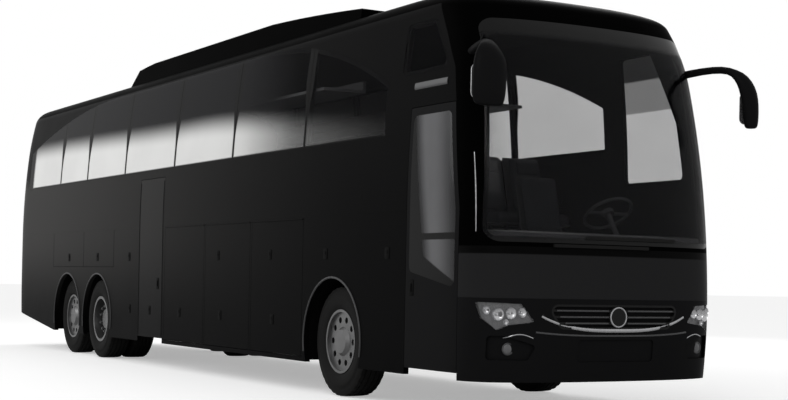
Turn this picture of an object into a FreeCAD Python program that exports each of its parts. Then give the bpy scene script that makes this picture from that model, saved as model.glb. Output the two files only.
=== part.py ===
# Three-axle touring coach. X points to the coach's left, Y to its rear and Z up; the origin is on
# the ground under the middle of the whole box. Places along the coach are written as stations,
# measured rearwards from the front face. All lengths are millimetres.
import FreeCAD, Part
import math
import os
import re
import Sketcher
from types import SimpleNamespace
from FreeCAD import Placement, Rotation, Vector

SIZES = {
    # Whole body
    "length": 14030, "width": 2550, "roof_crown": 3680, "nose_rake": 2000, "tail_rake": 1000,
    "nose_depth": 400, "tail_depth": 300, "nose_span": 3900, "tail_span": 1900,
    "side_arc": 12000, "cant_arc": 220, "roof_arc": 7800, "shoulder_height": 2900,
    "hull_low": 200, "bumper_bulge": 600, "bumper_top": 950, "screen_base": 1330,
    "wall": 50, "seam": 0.4, "seat_gap": 0.3, "panel_gap": 6, "overrun": 200,
    "skirt_height": 300, "crease_height": 1710, "cant_height": 3490,
    "front_joint": 509, "rear_joint": 13570, "bumper_joint": 985,
    "tail_rise_station": 11900, "tail_rise": 270, "tail_bumper_joint": 930,
    # Glass
    "pane": 6, "pane_seat": 6.3, "pane_gap": 7, "pane_margin": 35, "belt_height": 2400,
    "glass_top": 3470, "glass_front": 1840, "glass_rear": 13400, "glass_corner": 60,
    "glass_front_run": 2900, "glass_front_drop": 600, "glass_front_bulge": 170,
    "glass_rear_run": 4200, "glass_rear_drop": 520, "glass_rear_bulge": 150,
    "glass_joint_one": 3520, "glass_joint_two": 5340, "glass_joint_three": 7120,
    "glass_joint_four": 8910, "glass_joint_five": 10490, "glass_joint_six": 11750,
    "windscreen_base": 1440, "windscreen_top": 3310, "windscreen_base_half": 1185,
    "windscreen_top_half": 1060, "windscreen_corner": 120, "windscreen_reach": 1000,
    "pillar_waist_station": 555, "pillar_waist_height": 2000, "pillar_station": 650,
    "pillar_head_station": 720, "pillar_head_height": 2900, "pillar_dome_station": 900,
    "pillar_dome_height": 3200, "header_station": 1100,
    "quarter_front": 800, "quarter_top_front": 1100, "quarter_rear": 1600,
    "quarter_low": 2900, "quarter_top": 3360,
    "driver_pane_front": 640, "driver_pane_middle": 720, "driver_pane_head": 1050,
    "driver_pane_low": 2050, "driver_pane_top": 3300,
    "rear_window_low": 2450, "rear_window_top": 3200, "rear_window_half": 950,
    "cove_half": 750, "roof_front_joint": 2100, "roof_rear_joint": 13200,
    # Doors
    "door_front": 515, "door_rear": 1370, "door_low": 360, "door_top": 2600,
    "door_glass_top": 2530, "door_glass_low": 1190, "door_glass_slope": 130,
    "door_glass_front": 565, "door_glass_waist": 612, "door_glass_head": 700,
    "door_glass_rear": 1316, "door_reach": 400,
    "mid_door_front": 7400, "mid_door_rear": 8260, "mid_door_top": 2300,
    "post_inset": 40, "post_depth": 130, "pivot_depth": 130, "pivot_shift": 50,
    "leaf_stand": 360, "elbow_reach": 230, "post_radius": 18, "threshold_gap": 24,
    "arm_radius": 12, "pivot_radius": 8, "arm_low": 650, "arm_high": 1850,
    "post_base": 400.3,
    # Luggage flaps and engine lid
    "flap_front": 3460, "flap_rear": 7340, "flap_low": 351, "flap_top": 1690, "flap_pillar": 40,
    "hinge_stand": 2, "hinge_pin": 3, "hinge_bore": 3.05, "hinge_barrel": 5.5, "hinge_rise": 6,
    "rail_gap": 6,
    "lid_low": 990, "lid_top": 1890, "lid_half": 740,
    # Axles and wheels
    "front_axle_station": 2800, "wheelbase": 7120, "tag_spacing": 1350, "arch_radius": 600,
    "tyre_radius": 522, "tyre_half_width": 143, "tyre_bead_half": 112, "tyre_bore": 290,
    "track_half": 1050, "twin_outer": 1090, "twin_spacing": 336,
    "rim_thickness": 10, "rim_edge": 14, "bead_gap": 2.2, "hub_radius": 140, "disc_hole": 30,
    "hub_out": 130, "hub_in": -55, "spindle_out": 60, "twin_hub_out": 60, "twin_hub_in": -420,
    "twin_spindle_out": -20, "hole_reach": 100, "eye_half": 50, "eye_radius": 55,
    "web_thickness": 25, "engine_low": 560,
    "disc_hole_circle": 210, "disc_hole_count": 10, "disc_inset": 30,
    "kingpin_half": 900, "kingpin_radius": 28, "kingpin_bore": 28.05, "knuckle_radius": 62,
    "knuckle_half_height": 110, "knuckle_clear": 4, "spindle_radius": 40, "spindle_bore": 40.05,
    "beam_width": 130, "beam_drop": 60, "drive_tube": 75, "drive_pot": 230,
    "bellows_radius": 90,
    # Floor and underframe
    "floor_height": 1380, "floor_sheet": 40, "platform_height": 1140, "platform_rear": 2100,
    "floor_front": 330, "floor_rear": 13500, "stair_inner": 456, "stair_rear": 1400,
    "stair_sheet": 30, "stair_low": 400, "mid_stair_inner": 330, "bay_floor": 440,
    "bay_sheet": 30, "bay_front": 3430, "bay_rear": 9200, "bay_half": 1215,
    "bulkhead": 30, "rail_half": 380, "rail_width": 90, "rail_low": 760, "rail_high": 960,
    "rail_front": 600, "rail_rear": 13450, "cross_width": 80, "cross_half": 1215,
    "jack_front": 2000, "jack_rear": 11850, "jack_radius": 42, "jack_depth": 15,
    # Inside
    "seat_pitch": 860, "seat_rows": 12, "seat_first": 2300, "seat_pair_width": 900,
    "seat_depth": 460, "seat_height": 430, "seat_cushion": 130,
    "seat_back": 1050, "seat_back_thick": 110, "seat_rake": 160, "seat_leg": 60,
    "rack_inner": 700, "rack_low": 2960, "rack_sheet": 30, "rack_front": 3300, "rack_rear": 12700,
    "dash_rear": 820, "dash_top": 1560, "dash_low": 1141,
    "driver_x": 640, "driver_station": 1560, "driver_width": 520,
    "wheel_ring": 225, "wheel_tube": 14, "wheel_station": 1040, "wheel_height": 1760,
    "wheel_tilt": 35, "column_radius": 24, "column_length": 560,
    "engine_front": 12150, "engine_top": 1250,
    # Roof fairing, lamps, grille, mirrors, wipers
    "fairing_front": 2900, "fairing_rear": 9720, "fairing_half": 1000, "fairing_rise": 200,
    "fairing_rear_slope": 400, "fairing_front_run": 3000, "fairing_rear_run": 1500,
    "fairing_rear_drop": 65, "fairing_step": 40, "fairing_crown": 25, "fairing_side": 60,
    "lamp_depth": 40, "lamp_corner": 9, "lamp_tip": 790, "lamp_tip_height": 792,
    "lamp_brow": 902, "lamp_brow_height": 938, "lamp_outer": 1214, "lamp_outer_height": 950,
    "lamp_cheek": 1188, "lamp_cheek_height": 819, "lamp_chin": 1090, "lamp_chin_height": 722,
    "lamp_bridge": 1002, "lamp_bridge_height": 766,
    "grille_half": 700, "grille_foot_half": 560, "grille_low": 735, "grille_high": 940,
    "grille_corner": 60, "grille_depth": 25, "grille_bar": 18, "grille_bars": 3,
    "badge_radius": 88,
    "plate_half": 390, "plate_low": 465, "plate_high": 650, "plate_corner": 30,
    "duct_inner": 770, "duct_inner_height": 600, "duct_brow": 1030, "duct_high": 680,
    "duct_outer": 1150, "duct_low": 480, "duct_foot": 830,
    "tail_lamp_low": 1150, "tail_lamp_high": 1750, "tail_lamp_outer": 1180,
    "tail_lamp_inner": 1060, "tail_lamp_depth": 30,
    "mirror_ahead": 90, "mirror_half": 1385, "mirror_root_station": 700, "mirror_bow": 120,
    "mirror_bow_share": 0.3, "mirror_root_half": 1120, "mirror_root_height": 3000,
    "mirror_rise": 50,
    "mirror_arm_radius": 26, "mirror_head_width": 190, "mirror_head_depth": 150,
    "mirror_head_low": 2490, "mirror_head_high": 2840,
    "wiper_base_height": 1405, "wiper_base_half": 330, "wiper_radius": 9, "wiper_length": 950,
}

# Lean of the front and the tail at each hull row, as shares of the nose rake and the tail rake, from
# the skirt up. A row where two stretches of the section meet gets its lean from its neighbours.
LEAN_SHARES = (
    ("hull low", 0.030, 0.060), ("bulge", 0.000, 0.000), ("bumper joint", None, None),
    ("screen base", 0.007, 0.000), ("crease", None, None), ("waist", 0.065, 0.030),
    ("shoulder", None, None), ("brow", 0.155, 0.085), ("cant", None, None),
    ("dome", 0.310, 0.260), ("roof edge", None, None), ("roof", 1.500, 0.720),
    ("crown", 1.000, 1.000),
)
# Shares of the half width and of the nose or tail depth, from the middle line out to the side.
NOSE_SHARES = ((0.0, 0.0), (0.33, 0.0), (0.68, 0.16), (0.90, 0.45), (1.0, 1.0), (1.0, 2.0))
TAIL_SHARES = ((0.0, 0.0), (0.33, 0.0), (0.72, 0.08), (0.94, 0.36), (1.0, 1.0), (1.0, 2.0))

doc = FreeCAD.newDocument("CoachBus")
sheet = doc.addObject("Spreadsheet::Sheet", "Sizes")
for row, (word, value) in enumerate(SIZES.items(), 1):
    sheet.set(f"A{row}", word)
    sheet.set(f"B{row}", str(value))
    sheet.setAlias(f"B{row}", word)
doc.recompute()
S = SimpleNamespace(**{word: float(sheet.get(word)) for word in SIZES})

ORIGIN = "(length - mirror_ahead) / 2"
ORIGIN_STATION = (S.length - S.mirror_ahead) / 2
HALF = S.width / 2
AXLES = {
    "front": "front_axle_station",
    "drive": "front_axle_station + wheelbase",
    "tag": "front_axle_station + wheelbase + tag_spacing",
}
SIDES = {"right": -1, "left": 1}
PARTS = {}


def words(text):
    """Point each word of the sheet at its cell."""
    def cell(match):
        return "Sizes." + match.group(0) if match.group(0) in SIZES else match.group(0)
    return re.sub(r"[a-z][a-z_0-9]*", cell, str(text))


def worth(text):
    """The number that an expression on the sheet's words gives."""
    return float(sheet.evalExpression(words(text)))


def bind(item, prop, text):
    item.setExpression(prop, words(text))


def place(item, x, station, z):
    """Bind where an object stands; stations become distances from the origin."""
    bind(item, "Placement.Base.x", x)
    bind(item, "Placement.Base.y", f"{station} - ({ORIGIN})")
    bind(item, "Placement.Base.z", z)


def box(name, x, station, z):
    item = doc.addObject("Part::Box", name)
    for prop, (low, high) in zip(("Length", "Width", "Height"), (x, station, z)):
        bind(item, prop, f"({high}) - ({low})")
    place(item, x[0], station[0], z[0])
    return item


TURNS = {
    "X": Rotation(Vector(0, 1, 0), 90),
    "Y": Rotation(Vector(1, 0, 0), -90),
    "Z": Rotation(),
}


def rod(name, axis, radius, start, length):
    """A round bar from a start point along an axis."""
    item = doc.addObject("Part::Cylinder", name)
    item.Placement = Placement(Vector(), TURNS[axis])
    bind(item, "Radius", radius)
    bind(item, "Height", length)
    place(item, *start)
    return item


def fused(name, parts):
    item = doc.addObject("Part::MultiFuse", name)
    item.Shapes = parts
    return item


def cut(name, base, tool):
    item = doc.addObject("Part::Cut", name)
    item.Base = base
    item.Tool = tool
    return item


def group(name, parts):
    item = doc.addObject("Part::Compound", name)
    item.Links = parts
    return item


def feature(name, shape):
    """A shape made in stations, kept in the part's frame."""
    item = doc.addObject("Part::Feature", name)
    item.Shape = shape
    item.Placement = Placement(Vector(0, -ORIGIN_STATION, 0), Rotation())
    return item


def publish(name, item):
    item.Label = name
    PARTS[name] = item


# Shapes worked out by hand: blocks, outlines and prisms in station coordinates.
def block(x, station, z):
    low = Vector(min(x), min(station), min(z))
    return Part.makeBox(max(x) - low.x, max(station) - low.y, max(z) - low.z, low)


def round_bar(axis, radius, start, length):
    direction = {"X": Vector(1, 0, 0), "Y": Vector(0, 1, 0), "Z": Vector(0, 0, 1)}[axis]
    return Part.makeCylinder(radius, length, Vector(*start), direction)


def rounded(points, radius):
    """A closed outline through points, with every corner rounded to one radius."""
    edges = []
    starts = []
    ends = []
    count = len(points)
    for index, point in enumerate(points):
        to_last = (points[index - 1] - point).normalize()
        to_next = (points[(index + 1) % count] - point).normalize()
        half_turn = to_last.getAngle(to_next) / 2
        reach = radius / math.tan(half_turn)
        bisector = (to_last + to_next).normalize()
        starts.append(point + to_last * reach)
        ends.append(point + to_next * reach)
        middle = point + bisector * (radius / math.sin(half_turn) - radius)
        edges.append(Part.Arc(starts[-1], middle, ends[-1]).toShape())
    for index in range(count):
        edges.append(Part.makeLine(ends[index], starts[(index + 1) % count]))
    return Part.Wire(Part.__sortEdges__(edges))


def polygon(points):
    return Part.makePolygon(points + [points[0]])


def prism(wire, along):
    return Part.Face(wire).extrude(along)


def side_prism(wire, side):
    """An outline drawn on the middle plane, pushed out through one side wall."""
    return prism(wire, Vector(side * (HALF + S.overrun), 0, 0))


def side_points(pairs):
    return [Vector(0, station, z) for station, z in pairs]


def front_points(pairs, station):
    return [Vector(x, station, z) for x, z in pairs]


# The body's outer skin, and skins set in from it. Its section is a straight side, a long arc above
# the crease, a tight cant arc and a flat roof arc, each tangent to the next.
def arc_rows(centre, radius, start, end):
    """The control point between an arc's ends, its weight, and the arc's end."""
    half = (start - centre).getAngle(end - centre) / 2
    towards = ((start + end) / 2 - centre).normalize()
    return [(centre + towards * (radius / math.cos(half)), math.cos(half)), (end, 1.0)]


def section_rows(inset):
    """Control points and weights of half the section, from the skirt to the crown."""
    side_centre = Vector(HALF - S.side_arc, 0, S.crease_height)
    roof_centre = Vector(0, 0, S.roof_crown - S.roof_arc)
    to_side = S.side_arc - S.cant_arc
    to_roof = S.roof_arc - S.cant_arc
    between = roof_centre - side_centre
    gap = between.Length
    along = (to_side ** 2 - to_roof ** 2 + gap ** 2) / (2 * gap)
    aside = math.sqrt(to_side ** 2 - along ** 2)
    axis = between.normalize()
    cant_centre = side_centre + axis * along + Vector(-axis.z, 0, axis.x) * aside
    if cant_centre.x < 0 or cant_centre.z < S.crease_height:
        cant_centre = side_centre + axis * along + Vector(axis.z, 0, -axis.x) * aside
    side_radius = S.side_arc - inset
    crease = side_centre + Vector(side_radius, 0, 0)
    rise = math.asin((S.shoulder_height - S.crease_height) / S.side_arc)
    shoulder = side_centre + Vector(math.cos(rise), 0, math.sin(rise)) * side_radius
    cant = side_centre + (cant_centre - side_centre).normalize() * side_radius
    roof_edge = roof_centre + (cant_centre - roof_centre).normalize() * (S.roof_arc - inset)
    crown = roof_centre + Vector(0, 0, S.roof_arc - inset)
    rows = [(Vector(crease.x, 0, z), 1.0)
            for z in (S.hull_low - inset, S.bumper_bulge, S.bumper_top, S.screen_base)]
    rows.append((crease, 1.0))
    rows += arc_rows(side_centre, side_radius, crease, shoulder)
    rows += arc_rows(side_centre, side_radius, shoulder, cant)
    rows += arc_rows(cant_centre, S.cant_arc - inset, cant, roof_edge)
    rows += arc_rows(roof_centre, S.roof_arc - inset, roof_edge, crown)
    return rows


def leans(rows, column):
    """The lean of each row; a joint row lies on the line between its neighbours."""
    given = [share[column] for share in LEAN_SHARES]
    for index, lean in enumerate(given):
        if lean is None:
            before = (rows[index][0] - rows[index - 1][0]).Length
            after = (rows[index + 1][0] - rows[index][0]).Length
            part = before / (before + after)
            given[index] = given[index - 1] * (1 - part) + given[index + 1] * part
    return given


def hull_end(side, inset, front):
    """Columns of control points of one end of the body, from its middle line to its side."""
    rows = section_rows(inset)
    lean_shares = leans(rows, 1 if front else 2)
    rake, depth = (S.nose_rake, S.nose_depth) if front else (S.tail_rake, S.tail_depth)
    columns = []
    for width_share, depth_share in NOSE_SHARES if front else TAIL_SHARES:
        reaches = [depth_share * depth + lean * rake + inset for lean in lean_shares]
        columns.append((width_share, reaches))
    span = S.nose_span if front else S.tail_span
    columns.append((1, [span - depth] * len(rows)))
    columns.append((1, [span] * len(rows)))
    grid = []
    for width_share, reaches in columns:
        stations = reaches if front else [S.length - reach for reach in reaches]
        grid.append([Vector(side * width_share * point.x, station, point.z)
                     for (point, weight), station in zip(rows, stations)])
    return grid, [weight for point, weight in rows]


def clamped(count):
    return [4] + [1] * (count - 4) + [4], [float(knot) for knot in range(count - 2)]


def hull_strips(grid, weights):
    """One face for each stretch of the section, cubic around the body and conic up it."""
    across, across_knots = clamped(len(grid))
    faces = []
    for row in range(0, len(weights) - 1, 2):
        surface = Part.BSplineSurface()
        poles = [column[row:row + 3] for column in grid]
        shares = [weights[row:row + 3]] * len(grid)
        surface.buildFromPolesMultsKnots(
            poles, across, [3, 3], across_knots, [0.0, 1.0], False, False, 3, 2, shares)
        faces.append(surface.toShape())
    return faces


def section_edges(column, weights):
    """The straight and round edges of half the section."""
    edges = []
    for row in range(0, len(weights) - 1, 2):
        start, bend, end = column[row:row + 3]
        if weights[row + 1] == 1.0:
            edges.append(Part.makeLine(start, end))
        else:
            middle = (start + bend * (2 * weights[row + 1]) + end) / (2 + 2 * weights[row + 1])
            edges.append(Part.Arc(start, middle, end).toShape())
    return edges


def envelope(inset):
    """The closed solid of the body's outside, set in by a distance."""
    faces = []
    bottom = []
    for side in SIDES.values():
        nose, weights = hull_end(side, inset, True)
        tail, weights = hull_end(side, inset, False)
        run = Vector(0, tail[-1][0].y - nose[-1][0].y, 0)
        faces += hull_strips(nose, weights)
        faces += [edge.extrude(run) for edge in section_edges(nose[-1], weights)]
        faces += hull_strips(tail, weights)
    low = S.hull_low - inset
    for face in faces:
        bottom += [edge for edge in face.Edges if edge.BoundBox.ZMax < low + S.seam]
    faces.append(Part.Face(Part.Wire(Part.__sortEdges__(bottom))))
    shell = Part.makeShell(faces)
    shell.sewShape()
    solid = Part.Solid(shell)
    if solid.Volume < 0:
        solid.reverse()
    return solid


OUTER = envelope(0)
INNER = envelope(S.wall)
LINED = envelope(S.wall + S.seat_gap)
UNDER_GLASS = envelope(S.pane_seat)
GLASS_BACK = envelope(S.pane)


def skin(region):
    """The stretch of the body's wall inside a region."""
    return OUTER.common(region).cut(INNER)


def pane(outline):
    """A sheet of glass inside an outline, flush with the skin."""
    return OUTER.common(outline).cut(GLASS_BACK)


def rebate(outline):
    """What is taken out of the skin so that a pane beds in it."""
    return OUTER.common(outline).cut(UNDER_GLASS)


# Outlines of the windows and doors.
JOINTS = [S.glass_front, S.glass_joint_one, S.glass_joint_two, S.glass_joint_three,
          S.glass_joint_four, S.glass_joint_five, S.glass_joint_six, S.glass_rear]


def side_glass_outline(margin):
    """The long band of side glass: its top arches down to the front and falls off to the rear."""
    front = S.glass_front + margin
    rear = S.glass_rear - margin
    low = S.belt_height + margin
    top = S.glass_top - margin
    arch_foot = Vector(0, front, top - S.glass_front_drop)
    arch_end = Vector(0, front + S.glass_front_run, top)
    arch_middle = (arch_foot + arch_end) / 2 + Vector(0, 0, S.glass_front_bulge)
    tail_start = Vector(0, rear - S.glass_rear_run, top)
    tail_foot = Vector(0, rear, top - S.glass_rear_drop)
    tail_middle = (tail_start + tail_foot) / 2 + Vector(0, 0, S.glass_rear_bulge)
    edges = [
        Part.makeLine(Vector(0, front, low), Vector(0, rear, low)),
        Part.makeLine(Vector(0, rear, low), tail_foot),
        Part.Arc(tail_foot, tail_middle, tail_start).toShape(),
        Part.makeLine(tail_start, arch_end),
        Part.Arc(arch_end, arch_middle, arch_foot).toShape(),
        Part.makeLine(arch_foot, Vector(0, front, low)),
    ]
    return Part.Wire(Part.__sortEdges__(edges))


def quarter_outline(margin):
    """The small window over the front door."""
    return rounded(side_points((
        (S.quarter_front + margin, S.quarter_low + margin),
        (S.quarter_rear - margin, S.quarter_low + margin),
        (S.quarter_rear - margin, S.quarter_top - margin),
        (S.quarter_top_front + margin, S.quarter_top - margin))), S.glass_corner - margin / 2)


def driver_outline(margin):
    """The window beside the driver."""
    return rounded(side_points((
        (S.driver_pane_front + margin, S.driver_pane_low + margin),
        (S.quarter_rear - margin, S.driver_pane_low + margin),
        (S.quarter_rear - margin, S.driver_pane_top - margin),
        (S.driver_pane_head + margin, S.driver_pane_top - margin),
        (S.driver_pane_middle + margin, S.door_top))), S.glass_corner - margin / 2)


def windscreen_outline(margin):
    base = S.windscreen_base_half - margin
    top = S.windscreen_top_half - margin
    return rounded(front_points((
        (-base, S.windscreen_base + margin), (base, S.windscreen_base + margin),
        (top, S.windscreen_top - margin), (-top, S.windscreen_top - margin)),
        -S.overrun), S.windscreen_corner - margin)


def rear_window_outline(margin):
    half = S.rear_window_half - margin
    return rounded(front_points((
        (-half, S.rear_window_low + margin), (half, S.rear_window_low + margin),
        (half, S.rear_window_top - margin), (-half, S.rear_window_top - margin)),
        S.rear_joint), S.glass_corner * 2 - margin)


def door_glass_outline(margin):
    """The door's pane: its front edge follows the pillar, its foot slopes down to the front."""
    return rounded(side_points((
        (S.door_glass_front + margin, S.door_glass_low - S.door_glass_slope + margin),
        (S.door_glass_rear - margin, S.door_glass_low + margin),
        (S.door_glass_rear - margin, S.door_glass_top - margin),
        (S.door_glass_head + margin, S.door_glass_top - margin),
        (S.door_glass_waist + margin, S.pillar_waist_height),
        (S.door_glass_front + margin, S.crease_height))), S.glass_corner - margin / 2)


WINDSCREEN_REACH = Vector(0, S.windscreen_reach + S.overrun, 0)
REAR_REACH = Vector(0, S.length - S.rear_joint + S.overrun, 0)


# Regions of the skin, cut where the real panels meet.
def front_region():
    """Everything ahead of the pillars, up to the roof joint."""
    return prism(polygon(front_region_points()), Vector(S.width + S.overrun, 0, 0))


def front_region_points():
    left = -(HALF + S.overrun / 2)
    return [Vector(left, station, z) for station, z in (
        [(-S.overrun, S.hull_low)] + pillar_line(0) + [(-S.overrun, S.cant_height)])]


def pillar_line(shift):
    """The rear edge of the windscreen pillar from the skirt to the roof, as station and height."""
    return [(station + shift, z) for station, z in (
        (S.front_joint, S.hull_low), (S.front_joint, S.crease_height),
        (S.pillar_waist_station, S.pillar_waist_height), (S.pillar_station, S.door_top),
        (S.pillar_head_station, S.pillar_head_height),
        (S.pillar_dome_station, S.pillar_dome_height), (S.header_station, S.cant_height))]


def pillar_block(shift):
    """What lies ahead of the pillar's rear edge, or of a line a gap behind it."""
    line = [(-S.overrun, S.hull_low)] + pillar_line(shift) + [(-S.overrun, S.cant_height)]
    return prism(polygon([Vector(-S.width, station, z) for station, z in line]),
                 Vector(2 * S.width, 0, 0))


def axle_station(axle):
    return worth(AXLES[axle])


def wheel_arches(side):
    """Round cut-outs over the wheels of one side."""
    return [round_bar("X", S.arch_radius, (side * HALF - S.overrun, axle_station(axle), S.tyre_radius),
                      2 * S.overrun) for axle in AXLES]


def wide(low, high):
    """A level slice of the whole coach."""
    return block((-S.width, S.width), (-S.overrun, S.length + S.overrun), (low, high))


def tail_rise():
    """The wedge that lifts the skirt behind the rear wheels."""
    low = S.skirt_height - S.overrun
    return prism(polygon([Vector(-S.width, station, z) for station, z in (
        (S.tail_rise_station, S.skirt_height), (S.length + S.overrun, S.skirt_height + S.tail_rise),
        (S.length + S.overrun, low), (S.tail_rise_station, low))]), Vector(2 * S.width, 0, 0))


def flap_spans():
    """The front and rear ends of the luggage flaps' openings on one side."""
    clear = S.flap_rear - S.flap_front
    count = 3
    width = (clear - S.flap_pillar * (count - 1)) / count
    return [(S.flap_front + index * (width + S.flap_pillar),
             S.flap_front + index * (width + S.flap_pillar) + width) for index in range(count)]


HINGE_X = HALF + S.hinge_stand
HINGE_Z = S.flap_top + S.hinge_rise


def side_box(side, depth_in, depth_out, station, z):
    """A block at one side wall, between a depth inside the skin and a depth outside it."""
    return block((side * (HALF - depth_in), side * (HALF + depth_out)), station, z)


def side_lower(side):
    """The skirt below the crease: arches, luggage openings, the doorways and the hinge pins."""
    front = S.door_rear + S.panel_gap if side == SIDES["right"] else S.front_joint + S.seam
    region = side_box(side, HALF - S.seam, S.overrun, (front, S.rear_joint - S.seam),
                      (S.skirt_height, S.crease_height - S.seam))
    wall = skin(region)
    holes = wheel_arches(side) + [tail_rise()]
    pins = []
    for start, end in flap_spans():
        holes.append(side_box(side, S.overrun, S.overrun, (start, end),
                              (S.flap_low - S.panel_gap, HINGE_Z + S.rail_gap)))
        pins.append(round_bar("Y", S.hinge_pin, (side * HINGE_X, start - S.flap_pillar / 4, HINGE_Z),
                              end - start + S.flap_pillar / 2))
    if side == SIDES["right"]:
        holes.append(mid_doorway())
    wall = wall.cut(holes)
    return wall.fuse(pins).removeSplitter()


def mid_doorway():
    return side_box(SIDES["right"], S.overrun, S.overrun,
                    (S.mid_door_front - S.panel_gap, S.mid_door_rear + S.panel_gap),
                    (S.hull_low, S.mid_door_top + S.panel_gap))


def side_upper(side):
    """The wall above the crease, with its window openings and the pillars between them."""
    low = S.crease_height
    region = side_box(side, HALF - S.seam, S.overrun, (0, S.rear_joint - S.seam),
                      (low, S.cant_height - S.seam))
    region = region.cut(front_region())
    holes = []
    if side == SIDES["right"]:
        holes.append(side_box(side, S.overrun * 2, S.overrun, (0, S.door_rear + S.panel_gap),
                              (low, S.door_top + S.panel_gap)))
        holes.append(mid_doorway())
    corner = quarter_outline if side == SIDES["right"] else driver_outline
    wall = skin(region).cut(holes)
    wall = wall.cut([rebate(side_prism(side_glass_outline(0), side)),
                     rebate(side_prism(corner(0), side))])
    clear = side_prism(side_glass_outline(S.pane_margin), side)
    pillars = [block((-S.width, S.width), (joint - S.pane_margin, joint + S.pane_margin),
                     (0, S.roof_crown)) for joint in JOINTS[1:-1]]
    openings = clear.cut(pillars)
    wall = wall.cut([openings, side_prism(corner(S.pane_margin), side)])
    return wall.cut(upper_joints(side))


def upper_joints(side):
    """The seams between the sill, the window frame and, on the kerb side, the panels over the doors."""
    sill = (S.belt_height - S.seam, S.belt_height)
    if side != SIDES["right"]:
        return [side_box(side, HALF - S.seam, S.overrun, (0, S.length), sill)]
    after_door = S.door_rear + S.panel_gap
    before_mid = S.mid_door_front - S.panel_gap
    after_mid = S.mid_door_rear + S.panel_gap
    return [side_box(side, HALF - S.seam, S.overrun, (after_door, S.length), sill),
            side_box(side, HALF - S.seam, S.overrun, (after_door, after_door + S.seam),
                     (S.crease_height, S.cant_height)),
            side_box(side, HALF - S.seam, S.overrun, (before_mid - S.seam, before_mid),
                     (S.crease_height, S.belt_height)),
            side_box(side, HALF - S.seam, S.overrun, (after_mid, after_mid + S.seam),
                     (S.crease_height, S.belt_height))]


def side_glass(side):
    """The panes of one side, parted by thin gaps."""
    band = pane(side_prism(side_glass_outline(S.seam), side))
    gaps = [block((-S.width, S.width), (joint - S.pane_gap / 2, joint + S.pane_gap / 2),
                  (0, S.roof_crown)) for joint in JOINTS[1:-1]]
    corner = quarter_outline if side == SIDES["right"] else driver_outline
    return Part.makeCompound(band.cut(gaps).Solids + pane(side_prism(corner(S.seam), side)).Solids)


def roof():
    """The roof skin: coved edge panels along both sides, a middle run and the two ends."""
    levels = (S.cant_height, S.roof_crown + S.overrun)
    run = (S.roof_front_joint, S.roof_rear_joint)
    seams = [block((side * S.cove_half, side * (S.cove_half + S.seam)), run, levels)
             for side in SIDES.values()]
    seams += [block((-HALF, HALF), (joint, joint + S.seam), levels)
              for joint in (S.roof_front_joint, S.roof_rear_joint)]
    return skin(wide(*levels)).cut(seams)


def front_dome():
    """The ledge under the windscreen, the pillars beside it and the header over it, thinly parted."""
    wall = skin(front_region().common(wide(S.windscreen_base - S.pane_margin, S.cant_height - S.seam)))
    opening = prism(windscreen_outline(0), WINDSCREEN_REACH)
    clear = prism(windscreen_outline(S.pane_margin), WINDSCREEN_REACH)
    door_head = S.door_top + S.panel_gap
    seams = [wide(S.crease_height - S.seam, S.crease_height), wide(door_head, door_head + S.seam)]
    return wall.cut([rebate(opening), clear] + seams)


def windscreen():
    return pane(prism(windscreen_outline(S.seam), WINDSCREEN_REACH))


def front_panel():
    """The plain panel under the windscreen."""
    return skin(front_region().common(wide(S.bumper_joint, S.windscreen_base - S.pane_margin - S.seam)))


def front_prism(points, corner, margin):
    """A rounded outline drawn on the front, pushed rearwards through the nose."""
    outline = rounded(front_points(points, -S.overrun), corner)
    if margin:
        outline = outline.makeOffset2D(-margin)
    return prism(outline, Vector(0, S.front_joint + S.overrun, 0))


def lamp_prism(side, margin):
    """A headlamp's block: a pointed inner tip, a level brow and a chin under the outer bowl."""
    points = [(side * x, z) for x, z in (
        (S.lamp_tip, S.lamp_tip_height), (S.lamp_brow, S.lamp_brow_height),
        (S.lamp_outer, S.lamp_outer_height), (S.lamp_cheek, S.lamp_cheek_height),
        (S.lamp_chin, S.lamp_chin_height), (S.lamp_bridge, S.lamp_bridge_height))]
    return front_prism(points, S.lamp_corner, margin)


def grille_prism(margin):
    points = ((-S.grille_foot_half, S.grille_low), (S.grille_foot_half, S.grille_low),
              (S.grille_half, S.grille_high), (-S.grille_half, S.grille_high))
    return front_prism(points, S.grille_corner, margin)


def plate_prism():
    """The shallow place for a number plate."""
    points = ((-S.plate_half, S.plate_low), (S.plate_half, S.plate_low),
              (S.plate_half, S.plate_high), (-S.plate_half, S.plate_high))
    return front_prism(points, S.plate_corner, 0)


def duct_prism(side):
    """The duct beside the plate that holds a fog lamp."""
    points = [(side * x, z) for x, z in (
        (S.duct_inner, S.duct_inner_height), (S.duct_brow, S.duct_high),
        (S.duct_outer, S.duct_high), (S.duct_outer, S.duct_low), (S.duct_foot, S.duct_low))]
    return front_prism(points, S.plate_corner, 0)


def front_bumper():
    """The bumper skin with pockets for headlamps, grille and plate, and the fog lamps' ducts."""
    wall = skin(front_region().common(wide(S.skirt_height, S.bumper_joint - S.seam)))
    pockets = [OUTER.common(lamp_prism(side, 0)).cut(LAMP_FLOOR) for side in SIDES.values()]
    shallow = [grille_prism(0)] + [duct_prism(side) for side in SIDES.values()]
    pockets += [OUTER.common(hole).cut(GRILLE_FLOOR) for hole in shallow]
    pockets.append(OUTER.common(plate_prism()).cut(PLATE_FLOOR))
    return wall.cut(pockets)


def headlamps():
    lenses = [OUTER.common(lamp_prism(side, S.seat_gap)).cut(LAMP_SEAT) for side in SIDES.values()]
    return Part.makeCompound([solid for lens in lenses for solid in lens.Solids])


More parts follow.
